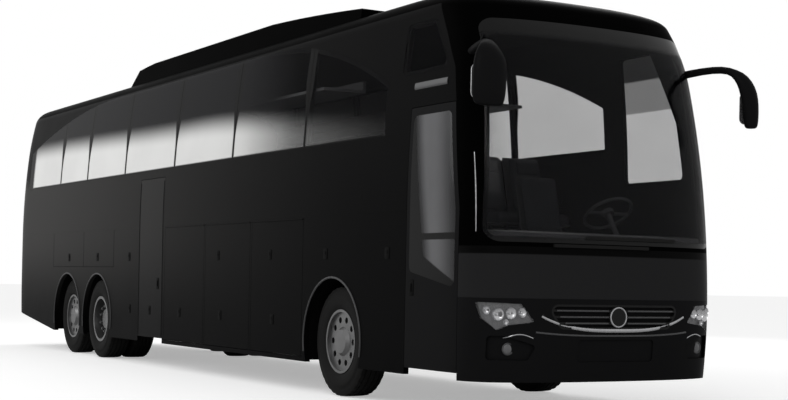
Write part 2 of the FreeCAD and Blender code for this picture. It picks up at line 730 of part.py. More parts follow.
def grille():
    """Level bars across the mouth, joined by an oval frame and a plain round badge place."""
    body = OUTER.common(grille_prism(S.seat_gap)).cut(GRILLE_SEAT)
    mouth = grille_prism(S.grille_bar)
    bars = []
    pitch = (S.grille_high - S.grille_low) / (S.grille_bars + 1)
    for index in range(int(S.grille_bars)):
        middle = S.grille_low + pitch * (index + 1)
        bars.append(wide(middle - S.grille_bar / 2, middle + S.grille_bar / 2))
    badge = round_bar("Y", S.badge_radius, (0, -S.overrun, (S.grille_low + S.grille_high) / 2),
                      S.front_joint + S.overrun)
    return body.cut(mouth.cut(bars + [badge]))


def rear_region(low, high):
    return block((-S.width, S.width), (S.rear_joint, S.length + S.overrun), (low, high))


def tail_lamp_prism(side, margin):
    return block((side * (S.tail_lamp_inner + margin), side * (S.tail_lamp_outer - margin)),
                 (S.rear_joint, S.length + S.overrun),
                 (S.tail_lamp_low + margin, S.tail_lamp_high - margin))


def rear_panel():
    """The tail above the bumper: window opening, lamp pockets, engine bay mouth and lid hinge."""
    wall = skin(rear_region(S.tail_bumper_joint, S.cant_height - S.seam))
    mouth = block((-S.lid_half - S.panel_gap, S.lid_half + S.panel_gap),
                  (S.rear_joint, S.length + S.overrun), (S.lid_low - S.panel_gap, LID_Z + S.rail_gap))
    pockets = [OUTER.common(tail_lamp_prism(side, 0)).cut(TAIL_LAMP_FLOOR) for side in SIDES.values()]
    wall = wall.cut(pockets + [mouth, rebate(prism(rear_window_outline(0), REAR_REACH)),
                               prism(rear_window_outline(S.pane_margin), REAR_REACH)])
    pin = round_bar("X", S.hinge_pin, (-S.lid_half - S.rail_gap - S.wall / 2, LID_Y, LID_Z),
                    2 * (S.lid_half + S.rail_gap) + S.wall)
    ears = [block((side * (S.lid_half + S.panel_gap), side * (S.lid_half + S.panel_gap + S.wall)),
                  (LID_Y - S.wall * 2, LID_Y + S.hinge_barrel),
                  (LID_Z - S.hinge_barrel, LID_Z + S.hinge_barrel)) for side in SIDES.values()]
    seams = [wide(S.rear_window_low, S.rear_window_low + S.seam),
             wide(S.rear_window_top - S.seam, S.rear_window_top)]
    return wall.fuse(ears + [pin]).removeSplitter().cut(seams)


def rear_bumper():
    return skin(rear_region(S.hull_low, S.tail_bumper_joint - S.seam)).cut(tail_rise())


def tail_lamps():
    lenses = [OUTER.common(tail_lamp_prism(side, S.seat_gap)).cut(TAIL_LAMP_SEAT)
              for side in SIDES.values()]
    return Part.makeCompound([solid for lens in lenses for solid in lens.Solids])


def rear_window():
    return pane(prism(rear_window_outline(S.seam), REAR_REACH))


def engine_lid():
    """The lid over the engine, hung from a pin along its top edge."""
    region = block((-S.lid_half, S.lid_half), (S.rear_joint, S.length + S.overrun),
                   (S.lid_low, S.lid_top))
    leaf = skin(region)
    barrel_half = S.lid_half - S.overrun
    barrel = round_bar("X", S.hinge_barrel, (-barrel_half, LID_Y, LID_Z), 2 * barrel_half)
    knuckle = block((-barrel_half, barrel_half), (LID_Y - S.wall, LID_Y),
                    (S.lid_top - S.hinge_rise, LID_Z - S.hinge_pin))
    bore = round_bar("X", S.hinge_bore, (-S.lid_half - S.wall, LID_Y, LID_Z),
                     2 * (S.lid_half + S.wall))
    return leaf.fuse([barrel, knuckle]).cut(bore).removeSplitter()


def luggage_flap(side, span):
    """A flap as thick as the wall, hung from a pin along its top edge."""
    start, end = span
    leaf = skin(side_box(side, S.overrun, S.overrun, (start + S.panel_gap, end - S.panel_gap),
                         (S.flap_low, S.flap_top)))
    inset = S.panel_gap * 3
    barrel = round_bar("Y", S.hinge_barrel, (side * HINGE_X, start + inset, HINGE_Z),
                       end - start - 2 * inset)
    knuckle = side_box(side, S.hinge_barrel * 2, S.hinge_stand, (start + inset, end - inset),
                       (S.flap_top - S.hinge_rise, HINGE_Z - S.hinge_pin))
    bore = round_bar("Y", S.hinge_bore, (side * HINGE_X, start, HINGE_Z), end - start)
    return leaf.fuse([barrel, knuckle]).cut(bore).removeSplitter()


def skin_station(z):
    """The station of the tail's outermost line at a height."""
    line = Part.makeLine(Vector(0, S.rear_joint, z), Vector(0, S.length + S.overrun, z))
    return OUTER.common(line).BoundBox.YMax


LAMP_FLOOR = envelope(S.lamp_depth)
LAMP_SEAT = envelope(S.lamp_depth - S.seat_gap)
GRILLE_FLOOR = envelope(S.grille_depth)
GRILLE_SEAT = envelope(S.grille_depth - S.seat_gap)
PLATE_FLOOR = envelope(S.grille_depth / 2)
TAIL_LAMP_FLOOR = envelope(S.tail_lamp_depth)
TAIL_LAMP_SEAT = envelope(S.tail_lamp_depth - S.seat_gap)
LID_Z = S.lid_top + S.hinge_rise
LID_Y = skin_station(LID_Z) + S.hinge_stand


# Doors. Each leaf hangs on cranked arms from a post inside the doorway's front edge; the arms swing
# the leaf out and forwards while it stays parallel to the side.
def door_plan(front, rear):
    """The post, the elbow and the leaf's pivot of one door, as x and station."""
    middle = (front + rear) / 2
    post = Vector(-(HALF - S.post_depth), front + S.post_inset, 0)
    pivot = Vector(-(HALF - S.pivot_depth), middle + S.pivot_shift, 0)
    swing = door_swing(front, rear)
    straight_out = Vector(-S.elbow_reach, 0, 0)
    elbow = post + Rotation(Vector(0, 0, 1), -swing).multVec(straight_out)
    return post, elbow, pivot


def door_swing(front, rear):
    """How far the arms turn, in degrees, to stand the leaf clear of the side."""
    back = (front + rear) / 2 + S.pivot_shift - front - S.post_inset
    out = S.post_depth - S.pivot_depth
    length = math.hypot(back, out)
    far = out + S.leaf_stand
    return math.degrees(math.pi - math.atan2(out, back) - math.asin(far / length))


def leaf_brackets(pivot, heights):
    """Ears that carry the leaf's pivot pins behind the leaf."""
    ears = []
    for z in heights:
        for shift in (-1, 1):
            low = z + shift * (S.arm_radius + S.knuckle_clear + S.pivot_radius)
            ears.append(block((pivot.x + S.post_radius, -(HALF - S.wall / 2)),
                              (pivot.y - S.arm_radius, pivot.y + S.arm_radius),
                              (low - S.pivot_radius, low + S.pivot_radius)))
        ears.append(round_bar("Z", S.pivot_radius,
                              (pivot.x, pivot.y, z - S.arm_radius - S.knuckle_clear - S.pivot_radius),
                              2 * (S.arm_radius + S.knuckle_clear + S.pivot_radius)))
    return ears


def flat_bar(start, end, low, high):
    """A level bar as wide as the door arms, between two points seen from above."""
    aside = (end - start).normalize().cross(Vector(0, 0, 1)) * S.arm_radius
    corners = [point + Vector(0, 0, low) for point in (
        start + aside, end + aside, end - aside, start - aside)]
    return prism(polygon(corners), Vector(0, 0, high - low))


def door_arms(front, rear, heights, top):
    """A turning post with two cranked flat arms, each ending in an eye on the leaf's pin."""
    post, elbow, pivot = door_plan(front, rear)
    solids = []
    for z in heights:
        low, high = z - S.arm_radius, z + S.arm_radius
        solids += [flat_bar(post, elbow, low, high), flat_bar(elbow, pivot, low, high)]
        solids.append(round_bar("Z", S.arm_radius, (elbow.x, elbow.y, low), high - low))
        solids.append(round_bar("Z", S.post_radius, (pivot.x, pivot.y, low), high - low))
    post_bar = round_bar("Z", S.post_radius, (post.x, post.y, S.post_base), top - S.post_base)
    bore = round_bar("Z", S.pivot_radius + S.hinge_bore - S.hinge_pin, (pivot.x, pivot.y, 0),
                     S.roof_crown)
    return post_bar.fuse(solids).cut(bore).removeSplitter()


def front_door():
    """The door leaf: as thick as the wall, with a glass rebate and an opening behind the pane."""
    side = SIDES["right"]
    leaf = skin(side_box(side, S.door_reach, S.overrun, (S.door_front, S.door_rear),
                         (S.door_low, S.door_top)).cut(pillar_block(S.panel_gap)))
    leaf = leaf.cut([rebate(side_prism(door_glass_outline(0), side)),
                     side_prism(door_glass_outline(S.pane_margin), side)])
    post, elbow, pivot = door_plan(S.door_front, S.door_rear)
    level = side_box(side, S.door_reach, 0, (S.door_front + S.pane_margin, S.door_rear - S.pane_margin),
                     (S.windscreen_base, S.windscreen_base + S.wall))
    upright = side_box(side, S.door_reach, 0, (pivot.y - S.wall / 2, pivot.y + S.wall / 2),
                       (S.door_glass_low - S.wall, S.door_glass_top))
    bars = [bar.common(LEAF_BACK) for bar in (level, upright)]
    return leaf.fuse(bars + leaf_brackets(pivot, (S.arm_low, S.arm_high)))


def front_door_glass():
    return pane(side_prism(door_glass_outline(S.seam), SIDES["right"]))


def mid_door():
    side = SIDES["right"]
    leaf = skin(side_box(side, S.door_reach, S.overrun, (S.mid_door_front, S.mid_door_rear),
                         (S.door_low, S.mid_door_top)))
    post, elbow, pivot = door_plan(S.mid_door_front, S.mid_door_rear)
    return leaf.fuse(leaf_brackets(pivot, (S.arm_low, S.arm_high)))


LEAF_BACK = envelope(S.pane_seat).cut(INNER)


# Floor, stairs and what stands under them.
def stairs(inner, front, rear, low, high, count):
    """A flight that climbs inwards from the door, as one bent sheet with closed ends."""
    outer = HALF - S.wall - S.post_depth - S.pivot_depth
    going = (outer - inner) / count
    rise = (high - low) / count
    threshold = HALF - S.wall - S.threshold_gap
    points = []
    for index in range(count):
        x = outer - index * going
        z = low + index * rise
        points += [(x if index else threshold, z), (x - going, z)]
    points.append((inner, high))
    points.append((inner - S.stair_sheet, high))
    points.append((inner - S.stair_sheet, low + (count - 1) * rise - S.stair_sheet))
    for index in reversed(range(count - 1)):
        x = outer - (index + 1) * going - S.stair_sheet
        z = low + index * rise - S.stair_sheet
        points += [(x, z + rise), (x, z)]
    points.append((threshold, low - S.stair_sheet))
    wire = polygon([Vector(-x, front, z) for x, z in points])
    return prism(wire, Vector(0, rear - front, 0))


def floor_deck():
    """The saloon floor, the lower platform beside the driver and the two flights of stairs."""
    deck = block((-HALF, HALF), (S.platform_rear, S.floor_rear),
                 (S.floor_height - S.floor_sheet, S.floor_height))
    riser = block((-HALF, HALF), (S.platform_rear, S.platform_rear + S.stair_sheet),
                  (S.platform_height - S.floor_sheet, S.floor_height))
    platform = block((-HALF, HALF), (S.floor_front, S.platform_rear + S.stair_sheet),
                     (S.platform_height - S.floor_sheet, S.platform_height))
    front_well = block((-HALF, -S.stair_inner), (0, S.stair_rear),
                       (0, S.floor_height + S.floor_sheet))
    mid_well = block((-HALF, -S.mid_stair_inner),
                     (S.mid_door_front + S.stair_sheet, S.mid_door_rear - S.stair_sheet),
                     (0, S.floor_height + S.floor_sheet))
    front_flight = stairs(S.stair_inner, S.door_front + S.stair_sheet, S.stair_rear - S.stair_sheet,
                          S.stair_low, S.platform_height, 3)
    mid_flight = stairs(S.mid_stair_inner, S.mid_door_front + S.stair_sheet,
                        S.mid_door_rear - S.stair_sheet, S.stair_low, S.floor_height, 4)
    outer = HALF - S.wall - S.post_depth - S.pivot_depth
    front_wall = (-outer, S.stair_sheet - S.stair_inner)
    mid_wall = (-outer, S.stair_sheet - S.mid_stair_inner)
    foot = S.stair_low - S.stair_sheet
    walls = [block(front_wall, (S.stair_rear - S.stair_sheet, S.stair_rear), (foot, S.platform_height)),
             block(mid_wall, (S.mid_door_front, S.mid_door_front + S.stair_sheet),
                   (foot, S.floor_height)),
             block(mid_wall, (S.mid_door_rear - S.stair_sheet, S.mid_door_rear),
                   (foot, S.floor_height))]
    post = door_plan(S.mid_door_front, S.mid_door_rear)[0]
    post_hole = round_bar("Z", S.post_radius + S.panel_gap, (post.x, post.y, 0), S.roof_crown)
    floor = deck.fuse([riser, platform]).cut([front_well, mid_well, post_hole]).common(LINED)
    front = front_flight.fuse(walls[0]).common(LINED).removeSplitter().cut(floor)
    middle = mid_flight.fuse(walls[1:]).common(LINED).removeSplitter().cut(floor)
    return Part.makeCompound(floor.removeSplitter().Solids + front.Solids + middle.Solids)


def underframe():
    """Two long rails broken by the luggage bay, its floor and end walls, and cross members."""
    parts = []
    for side in SIDES.values():
        x = (side * (S.rail_half - S.rail_width / 2), side * (S.rail_half + S.rail_width / 2))
        parts.append(block(x, (S.rail_front, S.bay_front + S.bulkhead), (S.rail_low, S.rail_high)))
        parts.append(block(x, (S.bay_rear - S.bulkhead, S.rail_rear), (S.rail_low, S.rail_high)))
    bay = block((-S.bay_half, S.bay_half), (S.bay_front, S.bay_rear),
                (S.bay_floor - S.bay_sheet, S.bay_floor))
    gaps = [block((-S.width, S.stair_sheet - S.mid_stair_inner),
                  (S.mid_door_front - S.panel_gap, S.mid_door_rear + S.panel_gap), (0, S.bay_floor))]
    for station in (S.bay_front, S.bay_rear - S.bulkhead):
        parts.append(block((-S.bay_half, S.bay_half), (station, station + S.bulkhead),
                           (S.bay_floor - S.bay_sheet, S.floor_height - S.floor_sheet)))
    for station in (S.rail_front, S.stair_rear + S.cross_width, S.rail_rear - S.cross_width):
        half = S.rail_half + S.rail_width / 2 if station == S.rail_front else S.cross_half
        parts.append(block((-half, half), (station, station + S.cross_width),
                           (S.rail_low, S.rail_high)))
    stands = []
    for station in (S.jack_front, S.jack_rear):
        for side in SIDES.values():
            stands.append(round_bar("Z", S.jack_radius, (
                side * S.rail_half, station, S.rail_low - S.jack_depth), S.jack_depth))
    for station in (S.rail_front, S.rail_rear - S.cross_width):
        top = S.platform_height if station == S.rail_front else S.floor_height
        for side in SIDES.values():
            x = (side * (S.rail_half - S.rail_width / 2), side * (S.rail_half + S.rail_width / 2))
            stands.append(block(x, (station, station + S.cross_width),
                                (S.rail_high, top - S.floor_sheet)))
    frame = parts[0].fuse(parts[1:] + stands + [bay.cut(gaps)])
    return frame.common(LINED).removeSplitter()


# Inside pieces seen through the glass.
def seat_pair(side, station):
    """Two seats on one foot, with backs that lean to the rear."""
    outer = HALF - S.wall - S.seat_leg
    inner = outer - S.seat_pair_width
    low = S.floor_height + S.seat_height - S.seat_cushion
    top = S.floor_height + S.seat_height
    rear = station + S.seat_depth
    profile = polygon([Vector(side * inner, y, z) for y, z in (
        (station, low), (station, top), (rear, top),
        (rear + S.seat_rake, S.floor_height + S.seat_back),
        (rear + S.seat_rake + S.seat_back_thick, S.floor_height + S.seat_back),
        (rear + S.seat_back_thick, low))])
    seat = prism(profile, Vector(side * S.seat_pair_width, 0, 0))
    notch = block((side * (inner + S.seat_pair_width / 2 - S.seat_leg / 4),
                   side * (inner + S.seat_pair_width / 2 + S.seat_leg / 4)),
                  (station - S.overrun, rear + S.seat_rake + S.overrun), (top, S.roof_crown))
    foot = block((side * (inner + S.seat_leg * 3), side * (outer - S.seat_leg * 3)),
                 (station + S.seat_leg, rear - S.seat_leg), (S.floor_height, low))
    return seat.cut(notch).fuse(foot).common(LINED)


def passenger_seats(side):
    """The rows of one side; none stands over a stairwell."""
    pairs = []
    for row in range(int(S.seat_rows)):
        station = S.seat_first + row * S.seat_pitch
        over_stairs = S.mid_door_front - S.seat_pitch < station < S.mid_door_rear
        if side == SIDES["left"] or not over_stairs:
            pairs += seat_pair(side, station).Solids
    return Part.makeCompound(pairs)


def luggage_racks():
    """A shelf along each side over the seats, with an upstand along its inner edge."""
    shelves = []
    for side in SIDES.values():
        shelf = block((side * S.rack_inner, side * HALF), (S.rack_front, S.rack_rear),
                      (S.rack_low, S.rack_low + S.rack_sheet))
        lip = block((side * S.rack_inner, side * (S.rack_inner + S.rack_sheet)),
                    (S.rack_front, S.rack_rear), (S.rack_low, S.rack_low + S.rack_sheet * 4))
        shelves += shelf.fuse(lip).common(LINED).removeSplitter().Solids
    return Part.makeCompound(shelves)


def dashboard():
    """The fascia across the front, hollowed towards the driver."""
    profile = [Vector(-HALF, y, z) for y, z in (
        (0, S.dash_low), (S.dash_rear - S.overrun, S.dash_low), (S.dash_rear, S.dash_top - S.overrun),
        (S.dash_rear - S.overrun / 4, S.dash_top), (0, S.dash_top - S.overrun / 4))]
    body = prism(polygon(profile), Vector(S.width, 0, 0))
    well = block((-HALF, -S.stair_inner), (0, S.stair_rear), (0, S.windscreen_base - S.pane_margin))
    door_side = block((-HALF, -HALF + S.door_reach), (S.front_joint - S.wall, S.stair_rear),
                      (0, S.roof_crown))
    bowl = round_bar("X", S.wheel_ring, (S.driver_x - S.driver_width / 2,
                     S.dash_rear + S.wheel_ring / 2, S.dash_top), S.driver_width)
    return body.common(LINED).cut([well, door_side, bowl])


def steering_wheel():
    """A ring with two spokes on a leaning column that rises out of the dashboard."""
    tilt = math.radians(S.wheel_tilt)
    axis = Vector(0, math.sin(tilt), math.cos(tilt))
    centre = Vector(S.driver_x, S.wheel_station, S.wheel_height)
    ring = Part.makeTorus(S.wheel_ring, S.wheel_tube, centre, axis)
    spokes = Part.makeCylinder(S.wheel_tube, 2 * S.wheel_ring, centre - Vector(S.wheel_ring, 0, 0),
                               Vector(1, 0, 0))
    hub = Part.makeCylinder(S.wheel_tube * 4, S.wheel_tube * 3, centre - axis * S.wheel_tube, axis)
    column = Part.makeCylinder(S.column_radius, S.column_length, centre, -axis).cut(DASHBOARD)
    whole = ring.fuse([spokes, hub, column]).removeSplitter()
    return max(whole.Solids, key=lambda solid: solid.Volume)


def driver_seat():
    """A single seat on a pedestal, facing the wheel."""
    low = S.platform_height + S.seat_height - S.seat_cushion
    top = S.platform_height + S.seat_height
    rear = S.driver_station + S.seat_depth
    profile = polygon([Vector(S.driver_x - S.driver_width / 2, y, z) for y, z in (
        (S.driver_station, low), (S.driver_station, top), (rear, top),
        (rear + S.seat_rake, S.platform_height + S.seat_back),
        (rear + S.seat_rake + S.seat_back_thick, S.platform_height + S.seat_back),
        (rear + S.seat_back_thick, low))])
    seat = prism(profile, Vector(S.driver_width, 0, 0))
    half = S.driver_width / 2 - S.seat_leg
    foot = block((S.driver_x - half, S.driver_x + half), (S.driver_station + S.seat_leg, rear),
                 (S.platform_height, low))
    return seat.fuse(foot).removeSplitter()


# Roof fairing and mirrors.
def roof_fairing():
    """The long hump over the roof: a short step at its front, a steep foot at its rear."""
    top = S.roof_crown + S.fairing_rise
    low = S.cant_height
    start = Vector(-HALF, S.fairing_front, S.roof_crown + S.fairing_step)
    level = Vector(-HALF, S.fairing_front + S.fairing_front_run, top)
    swell = (start + level) / 2 + Vector(0, 0, S.fairing_crown)
    brink = Vector(-HALF, S.fairing_rear - S.fairing_rear_slope, top - S.fairing_rear_drop)
    tail = brink + Vector(0, -S.fairing_rear_run, S.fairing_rear_drop)
    sink = (tail + brink) / 2 + Vector(0, 0, S.fairing_rear_drop / 4)
    rear_foot = Vector(-HALF, S.fairing_rear, low)
    front_foot = Vector(-HALF, S.fairing_front, low)
    along = Part.Wire(Part.__sortEdges__([
        Part.makeLine(front_foot, start), Part.Arc(start, swell, level).toShape(),
        Part.makeLine(level, tail), Part.Arc(tail, sink, brink).toShape(),
        Part.makeLine(brink, rear_foot), Part.makeLine(rear_foot, front_foot)]))
    outer = Vector(S.fairing_half, 0, low)
    shoulder = Vector(S.fairing_half - S.fairing_side, 0, top - S.fairing_crown)
    crown = Vector(0, 0, top)
    across = Part.Wire(Part.__sortEdges__([
        Part.makeLine(Vector(-outer.x, 0, low), outer), Part.makeLine(outer, shoulder),
        Part.Arc(shoulder, crown, Vector(-shoulder.x, 0, shoulder.z)).toShape(),
        Part.makeLine(Vector(-shoulder.x, 0, shoulder.z), Vector(-outer.x, 0, low))]))
    body = prism(along, Vector(S.width, 0, 0)).common(prism(across, Vector(0, S.length, 0)))
    return body.cut(OUTER)


def mirror():
    """An arm that springs from the pillar, reaches forwards and carries its head downwards."""
    head_station = -S.mirror_ahead + S.mirror_head_depth / 2
    top = S.mirror_head_high
    arm_height = S.mirror_root_height + S.mirror_rise
    points = [
        Vector(S.mirror_root_half, S.mirror_root_station, S.mirror_root_height),
        Vector(S.mirror_root_half + S.mirror_bow,
               S.mirror_root_station * S.mirror_bow_share, arm_height),
        Vector(S.mirror_half - S.mirror_bow / 2, head_station + S.mirror_bow, arm_height),
        Vector(S.mirror_half, head_station, top - S.mirror_arm_radius)]
    parts = []
    for start, end in zip(points, points[1:]):
        parts.append(Part.makeCylinder(S.mirror_arm_radius, (end - start).Length, start, end - start))
        parts.append(Part.makeSphere(S.mirror_arm_radius, start))
    head = block((S.mirror_half - S.mirror_head_width / 2, S.mirror_half + S.mirror_head_width / 2),
                 (-S.mirror_ahead, -S.mirror_ahead + S.mirror_head_depth), (S.mirror_head_low, top))
    head = head.makeFillet(S.mirror_arm_radius, head.Edges)
    whole = parts[0].fuse(parts[1:] + [head]).cut(OUTER).removeSplitter()
    return max(whole.Solids, key=lambda solid: solid.Volume)


def mirrors():
    left = mirror()
    return Part.makeCompound([left, left.mirror(Vector(), Vector(1, 0, 0))])


def wipers():
    """Two arms that lie along the foot of the windscreen, just clear of the glass."""
    arms = []
    lift = envelope(-S.wiper_radius * 2 - S.seat_gap).cut(envelope(-S.seat_gap))
    for side in SIDES.values():
        base = -side * S.wiper_base_half
        blade = [(base, S.wiper_base_height), (base + side * S.wiper_length, S.wiper_base_height),
                 (base + side * S.wiper_length, S.wiper_base_height + S.wiper_radius * 3),
                 (base, S.wiper_base_height + S.wiper_radius * 3)]
        rise = side * S.wiper_radius
        strip = prism(polygon(front_points([(x + rise, z + (S.wiper_radius * 8 if side > 0 else 0))
                                            for x, z in blade], -S.overrun)),
                      Vector(0, S.front_joint + S.overrun, 0))
        arms += strip.common(lift).Solids
    return Part.makeCompound(arms)


DASHBOARD = dashboard()


# Wheels: profiles turned about the axle, each drawn as a sketch whose corners follow the sheet.
def turned(name, corners, side, x, station):
    """A body turned about the axle from corners given as distance outwards and radius."""
    body = doc.addObject("PartDesign::Body", name)
    plane = next(item for item in body.Origin.OriginFeatures if item.Role == "XZ_Plane")
    sketch = body.newObject("Sketcher::SketchObject", name + "_profile")
    sketch.AttachmentSupport = (plane, [""])
    sketch.MapMode = "FlatFace"
    spots = [Vector(side * worth(out), worth(radius), 0) for out, radius in corners]
    count = len(spots)
    for index, spot in enumerate(spots):
        sketch.addGeometry(Part.LineSegment(spot, spots[(index + 1) % count]))
    for index in range(count):
        sketch.addConstraint(Sketcher.Constraint("Coincident", index, 2, (index + 1) % count, 1))
    for index, (out, radius) in enumerate(corners):
        for kind, text in (("DistanceX", f"{side} * ({out})"), ("DistanceY", radius)):
            number = sketch.addConstraint(
                Sketcher.Constraint(kind, -1, 1, index, 1, worth(text)))
            bind(sketch, f"Constraints[{number}]", text)
    turn = body.newObject("PartDesign::Revolution", name + "_turn")
    turn.Profile = sketch
    turn.ReferenceAxis = (sketch, ["H_Axis"])
    turn.Angle = 360
    place(body, f"{side} * ({x})", station, "tyre_radius")
    return body


TYRE = (("-tyre_bead_half", "tyre_bore"), ("-tyre_half_width", "tyre_radius"),
        ("tyre_half_width", "tyre_radius"), ("tyre_bead_half", "tyre_bore"))
RIM_OUT = "tyre_bead_half + bead_gap + rim_edge"
RIM_BAND = "tyre_bore - seat_gap"
RIM_BORE = "tyre_bore - seat_gap - rim_thickness"
FLANGE = "tyre_bore + rim_edge"


def rim_rows(outward, shift):
    """The outside of a rim: flange, band and flange, read in the given direction."""
    rows = [(f"-({RIM_OUT}) + {shift}", FLANGE),
            (f"-({RIM_OUT}) + rim_edge + {shift}", FLANGE),
            (f"-({RIM_OUT}) + rim_edge + {shift}", RIM_BAND),
            (f"{RIM_OUT} - rim_edge + {shift}", RIM_BAND),
            (f"{RIM_OUT} - rim_edge + {shift}", FLANGE),
            (f"{RIM_OUT} + {shift}", FLANGE)]
    return rows if outward else rows[::-1]


def single_rim():
    """A rim whose disc lies near its outer edge, with a hub that stands out of it."""
    disc_out = f"{RIM_OUT} - disc_inset"
    disc_in = f"{RIM_OUT} - disc_inset - rim_thickness"
    return [(f"-({RIM_OUT})", RIM_BORE)] + rim_rows(True, "0") + [
        (RIM_OUT, RIM_BORE), (disc_out, RIM_BORE), (disc_out, "hub_radius"),
        ("hub_out", "hub_radius - rim_edge * 2"), ("hub_out", "0"),
        ("spindle_out + seat_gap", "0"), ("spindle_out + seat_gap", "spindle_bore"),
        ("hub_in", "spindle_bore"), ("hub_in", "hub_radius"), (disc_in, "hub_radius"),
        (disc_in, RIM_BORE)]


def twin_rim():
    """Two rims whose discs meet back to back between the tyres, with one long hub."""
    inner = "-twin_spacing"
    joint = "-twin_spacing / 2"
    return [(f"-({RIM_OUT}) + {inner}", RIM_BORE)] + rim_rows(True, inner) + [
        (f"{RIM_OUT} + {inner}", RIM_BORE), (f"{joint} - rim_thickness", RIM_BORE),
        (f"{joint} + rim_thickness", RIM_BORE), (f"-({RIM_OUT})", RIM_BORE)] + rim_rows(True, "0") + [
        (RIM_OUT, RIM_BORE), (RIM_OUT, f"{RIM_BORE} - rim_thickness"),
        (f"{joint} + rim_thickness * 2", f"{RIM_BORE} - rim_thickness"),
        (f"{joint} + rim_thickness * 2", "hub_radius"), ("twin_hub_out", "hub_radius - rim_edge"),
        ("twin_hub_out", "0"), ("twin_spindle_out + seat_gap", "0"),
        ("twin_spindle_out + seat_gap", "spindle_bore"), ("twin_hub_in", "spindle_bore"),
        ("twin_hub_in", "hub_radius"), (f"{joint} - rim_thickness * 2", "hub_radius"),
        (f"{joint} - rim_thickness * 2", f"{RIM_BORE} - rim_thickness"),
        (f"-({RIM_OUT}) + {inner}", f"{RIM_BORE} - rim_thickness")]


def disc_holes(name, side, x, station):
    """Round hand holes in a ring through a wheel's disc."""
    rods = []
    count = int(S.disc_hole_count)
    for index in range(count):
        angle = 360 * index / count
        rods.append(rod(f"{name}_hole_{index}", "X", "disc_hole",
                        (f"{side} * ({x}) - hole_reach",
                         f"{station} + disc_hole_circle * cos({angle})",
                         f"tyre_radius + disc_hole_circle * sin({angle})"), "2 * hole_reach"))
    return group(name + "_holes", rods)


def build_wheels():
    for word, side in SIDES.items():
        for axle in ("front", "tag"):
            name = f"{axle}_tyre_{word}"
            publish(name, turned(name, TYRE, side, "track_half", AXLES[axle]))
            name = f"{axle}_rim_{word}"
            body = turned(name + "_body", single_rim(), side, "track_half", AXLES[axle])
            holes = disc_holes(name, side, "track_half", AXLES[axle])
            publish(name, cut(name, body, holes))
        name = f"drive_tyres_{word}"
        tyres = [turned(f"{name}_{place_word}", TYRE, side, x, AXLES["drive"])
                 for place_word, x in (("outer", "twin_outer"), ("inner", "twin_outer - twin_spacing"))]
        publish(name, group(name, tyres))
        name = f"drive_rims_{word}"
        body = turned(name + "_body", twin_rim(), side, "twin_outer", AXLES["drive"])
        holes = disc_holes(name, side, "twin_outer - twin_spacing / 2", AXLES["drive"])
        publish(name, cut(name, body, holes))


# Axles and knuckles.
def build_front_axle():
    station = AXLES["front"]
    half = "beam_width / 2"
    parts = [box("front_beam", ("-kingpin_half", "kingpin_half"),
                 (f"{station} - {half}", f"{station} + {half}"),
                 ("tyre_radius - eye_half", "tyre_radius + eye_half"))]
    for word, side in SIDES.items():
        x = f"{side} * kingpin_half"
        parts.append(rod(f"kingpin_{word}", "Z", "kingpin_radius",
                         (x, station, "tyre_radius - knuckle_half_height"), "2 * knuckle_half_height"))
        parts.append(rod(f"front_bellows_{word}", "Z", "bellows_radius",
                         (f"{side} * rail_half", station, "tyre_radius + eye_half"),
                         "rail_low - tyre_radius - eye_half"))
    ends = []
    for word, side in SIDES.items():
        ends.append(box(f"beam_end_{word}", (f"{side} * kingpin_half - knuckle_radius * 2",
                        f"{side} * kingpin_half + knuckle_radius * 2"),
                        (f"{station} - beam_width", f"{station} + beam_width"),
                        ("tyre_radius - eye_half", "tyre_radius + eye_half")))
    eyes = [rod(f"beam_eye_{word}", "Z", "eye_radius", (f"{side} * kingpin_half", station,
                "tyre_radius - eye_half"), "2 * eye_half") for word, side in SIDES.items()]
    necks = [box(f"beam_neck_{word}", (f"{side} * kingpin_half - {inner}", f"{side} * kingpin_half + {outer}"),
                 (f"{station} - eye_radius", f"{station} + eye_radius"),
                 ("tyre_radius - eye_half", "tyre_radius + eye_half"))
             for word, side, inner, outer in (("right", -1, "0", "knuckle_radius * 2"),
                                              ("left", 1, "knuckle_radius * 2", "0"))]
    trimmed = cut("front_beam_trimmed", parts[0], group("beam_ends", ends))
    publish("front_axle", fused("front_axle", [trimmed] + parts[1:] + eyes + necks))


def build_knuckle(word, side):
    """A forked knuckle round the kingpin, with the spindle that the wheel turns on."""
    station = AXLES["front"]
    x = f"{side} * kingpin_half"
    arms = []
    for name, low in (("upper", "tyre_radius + eye_half + knuckle_clear"),
                      ("lower", "tyre_radius - knuckle_half_height")):
        arms.append(rod(f"knuckle_{name}_{word}", "Z", "knuckle_radius", (x, station, low),
                        "knuckle_half_height - eye_half - knuckle_clear"))
    web_in = "kingpin_half + eye_radius + knuckle_clear"
    web = box(f"knuckle_web_{word}",
              (f"{side} * ({web_in})", f"{side} * ({web_in} + web_thickness)") if side > 0 else
              (f"{side} * ({web_in} + web_thickness)", f"{side} * ({web_in})"),
              (f"{station} - knuckle_radius", f"{station} + knuckle_radius"),
              ("tyre_radius - knuckle_half_height", "tyre_radius + knuckle_half_height"))
    length = f"track_half + spindle_out - ({web_in})"
    start = web_in if side > 0 else "-(track_half + spindle_out)"
    spindle = rod(f"spindle_{word}", "X", "spindle_radius", (start, station, "tyre_radius"), length)
    bore = rod(f"knuckle_bore_{word}", "Z", "kingpin_bore",
               (x, station, "tyre_radius - knuckle_half_height - overrun"),
               "2 * (knuckle_half_height + overrun)")
    body = fused(f"knuckle_body_{word}", arms + [web, spindle])
    publish(f"knuckle_{word}", cut(f"knuckle_{word}", body, bore))


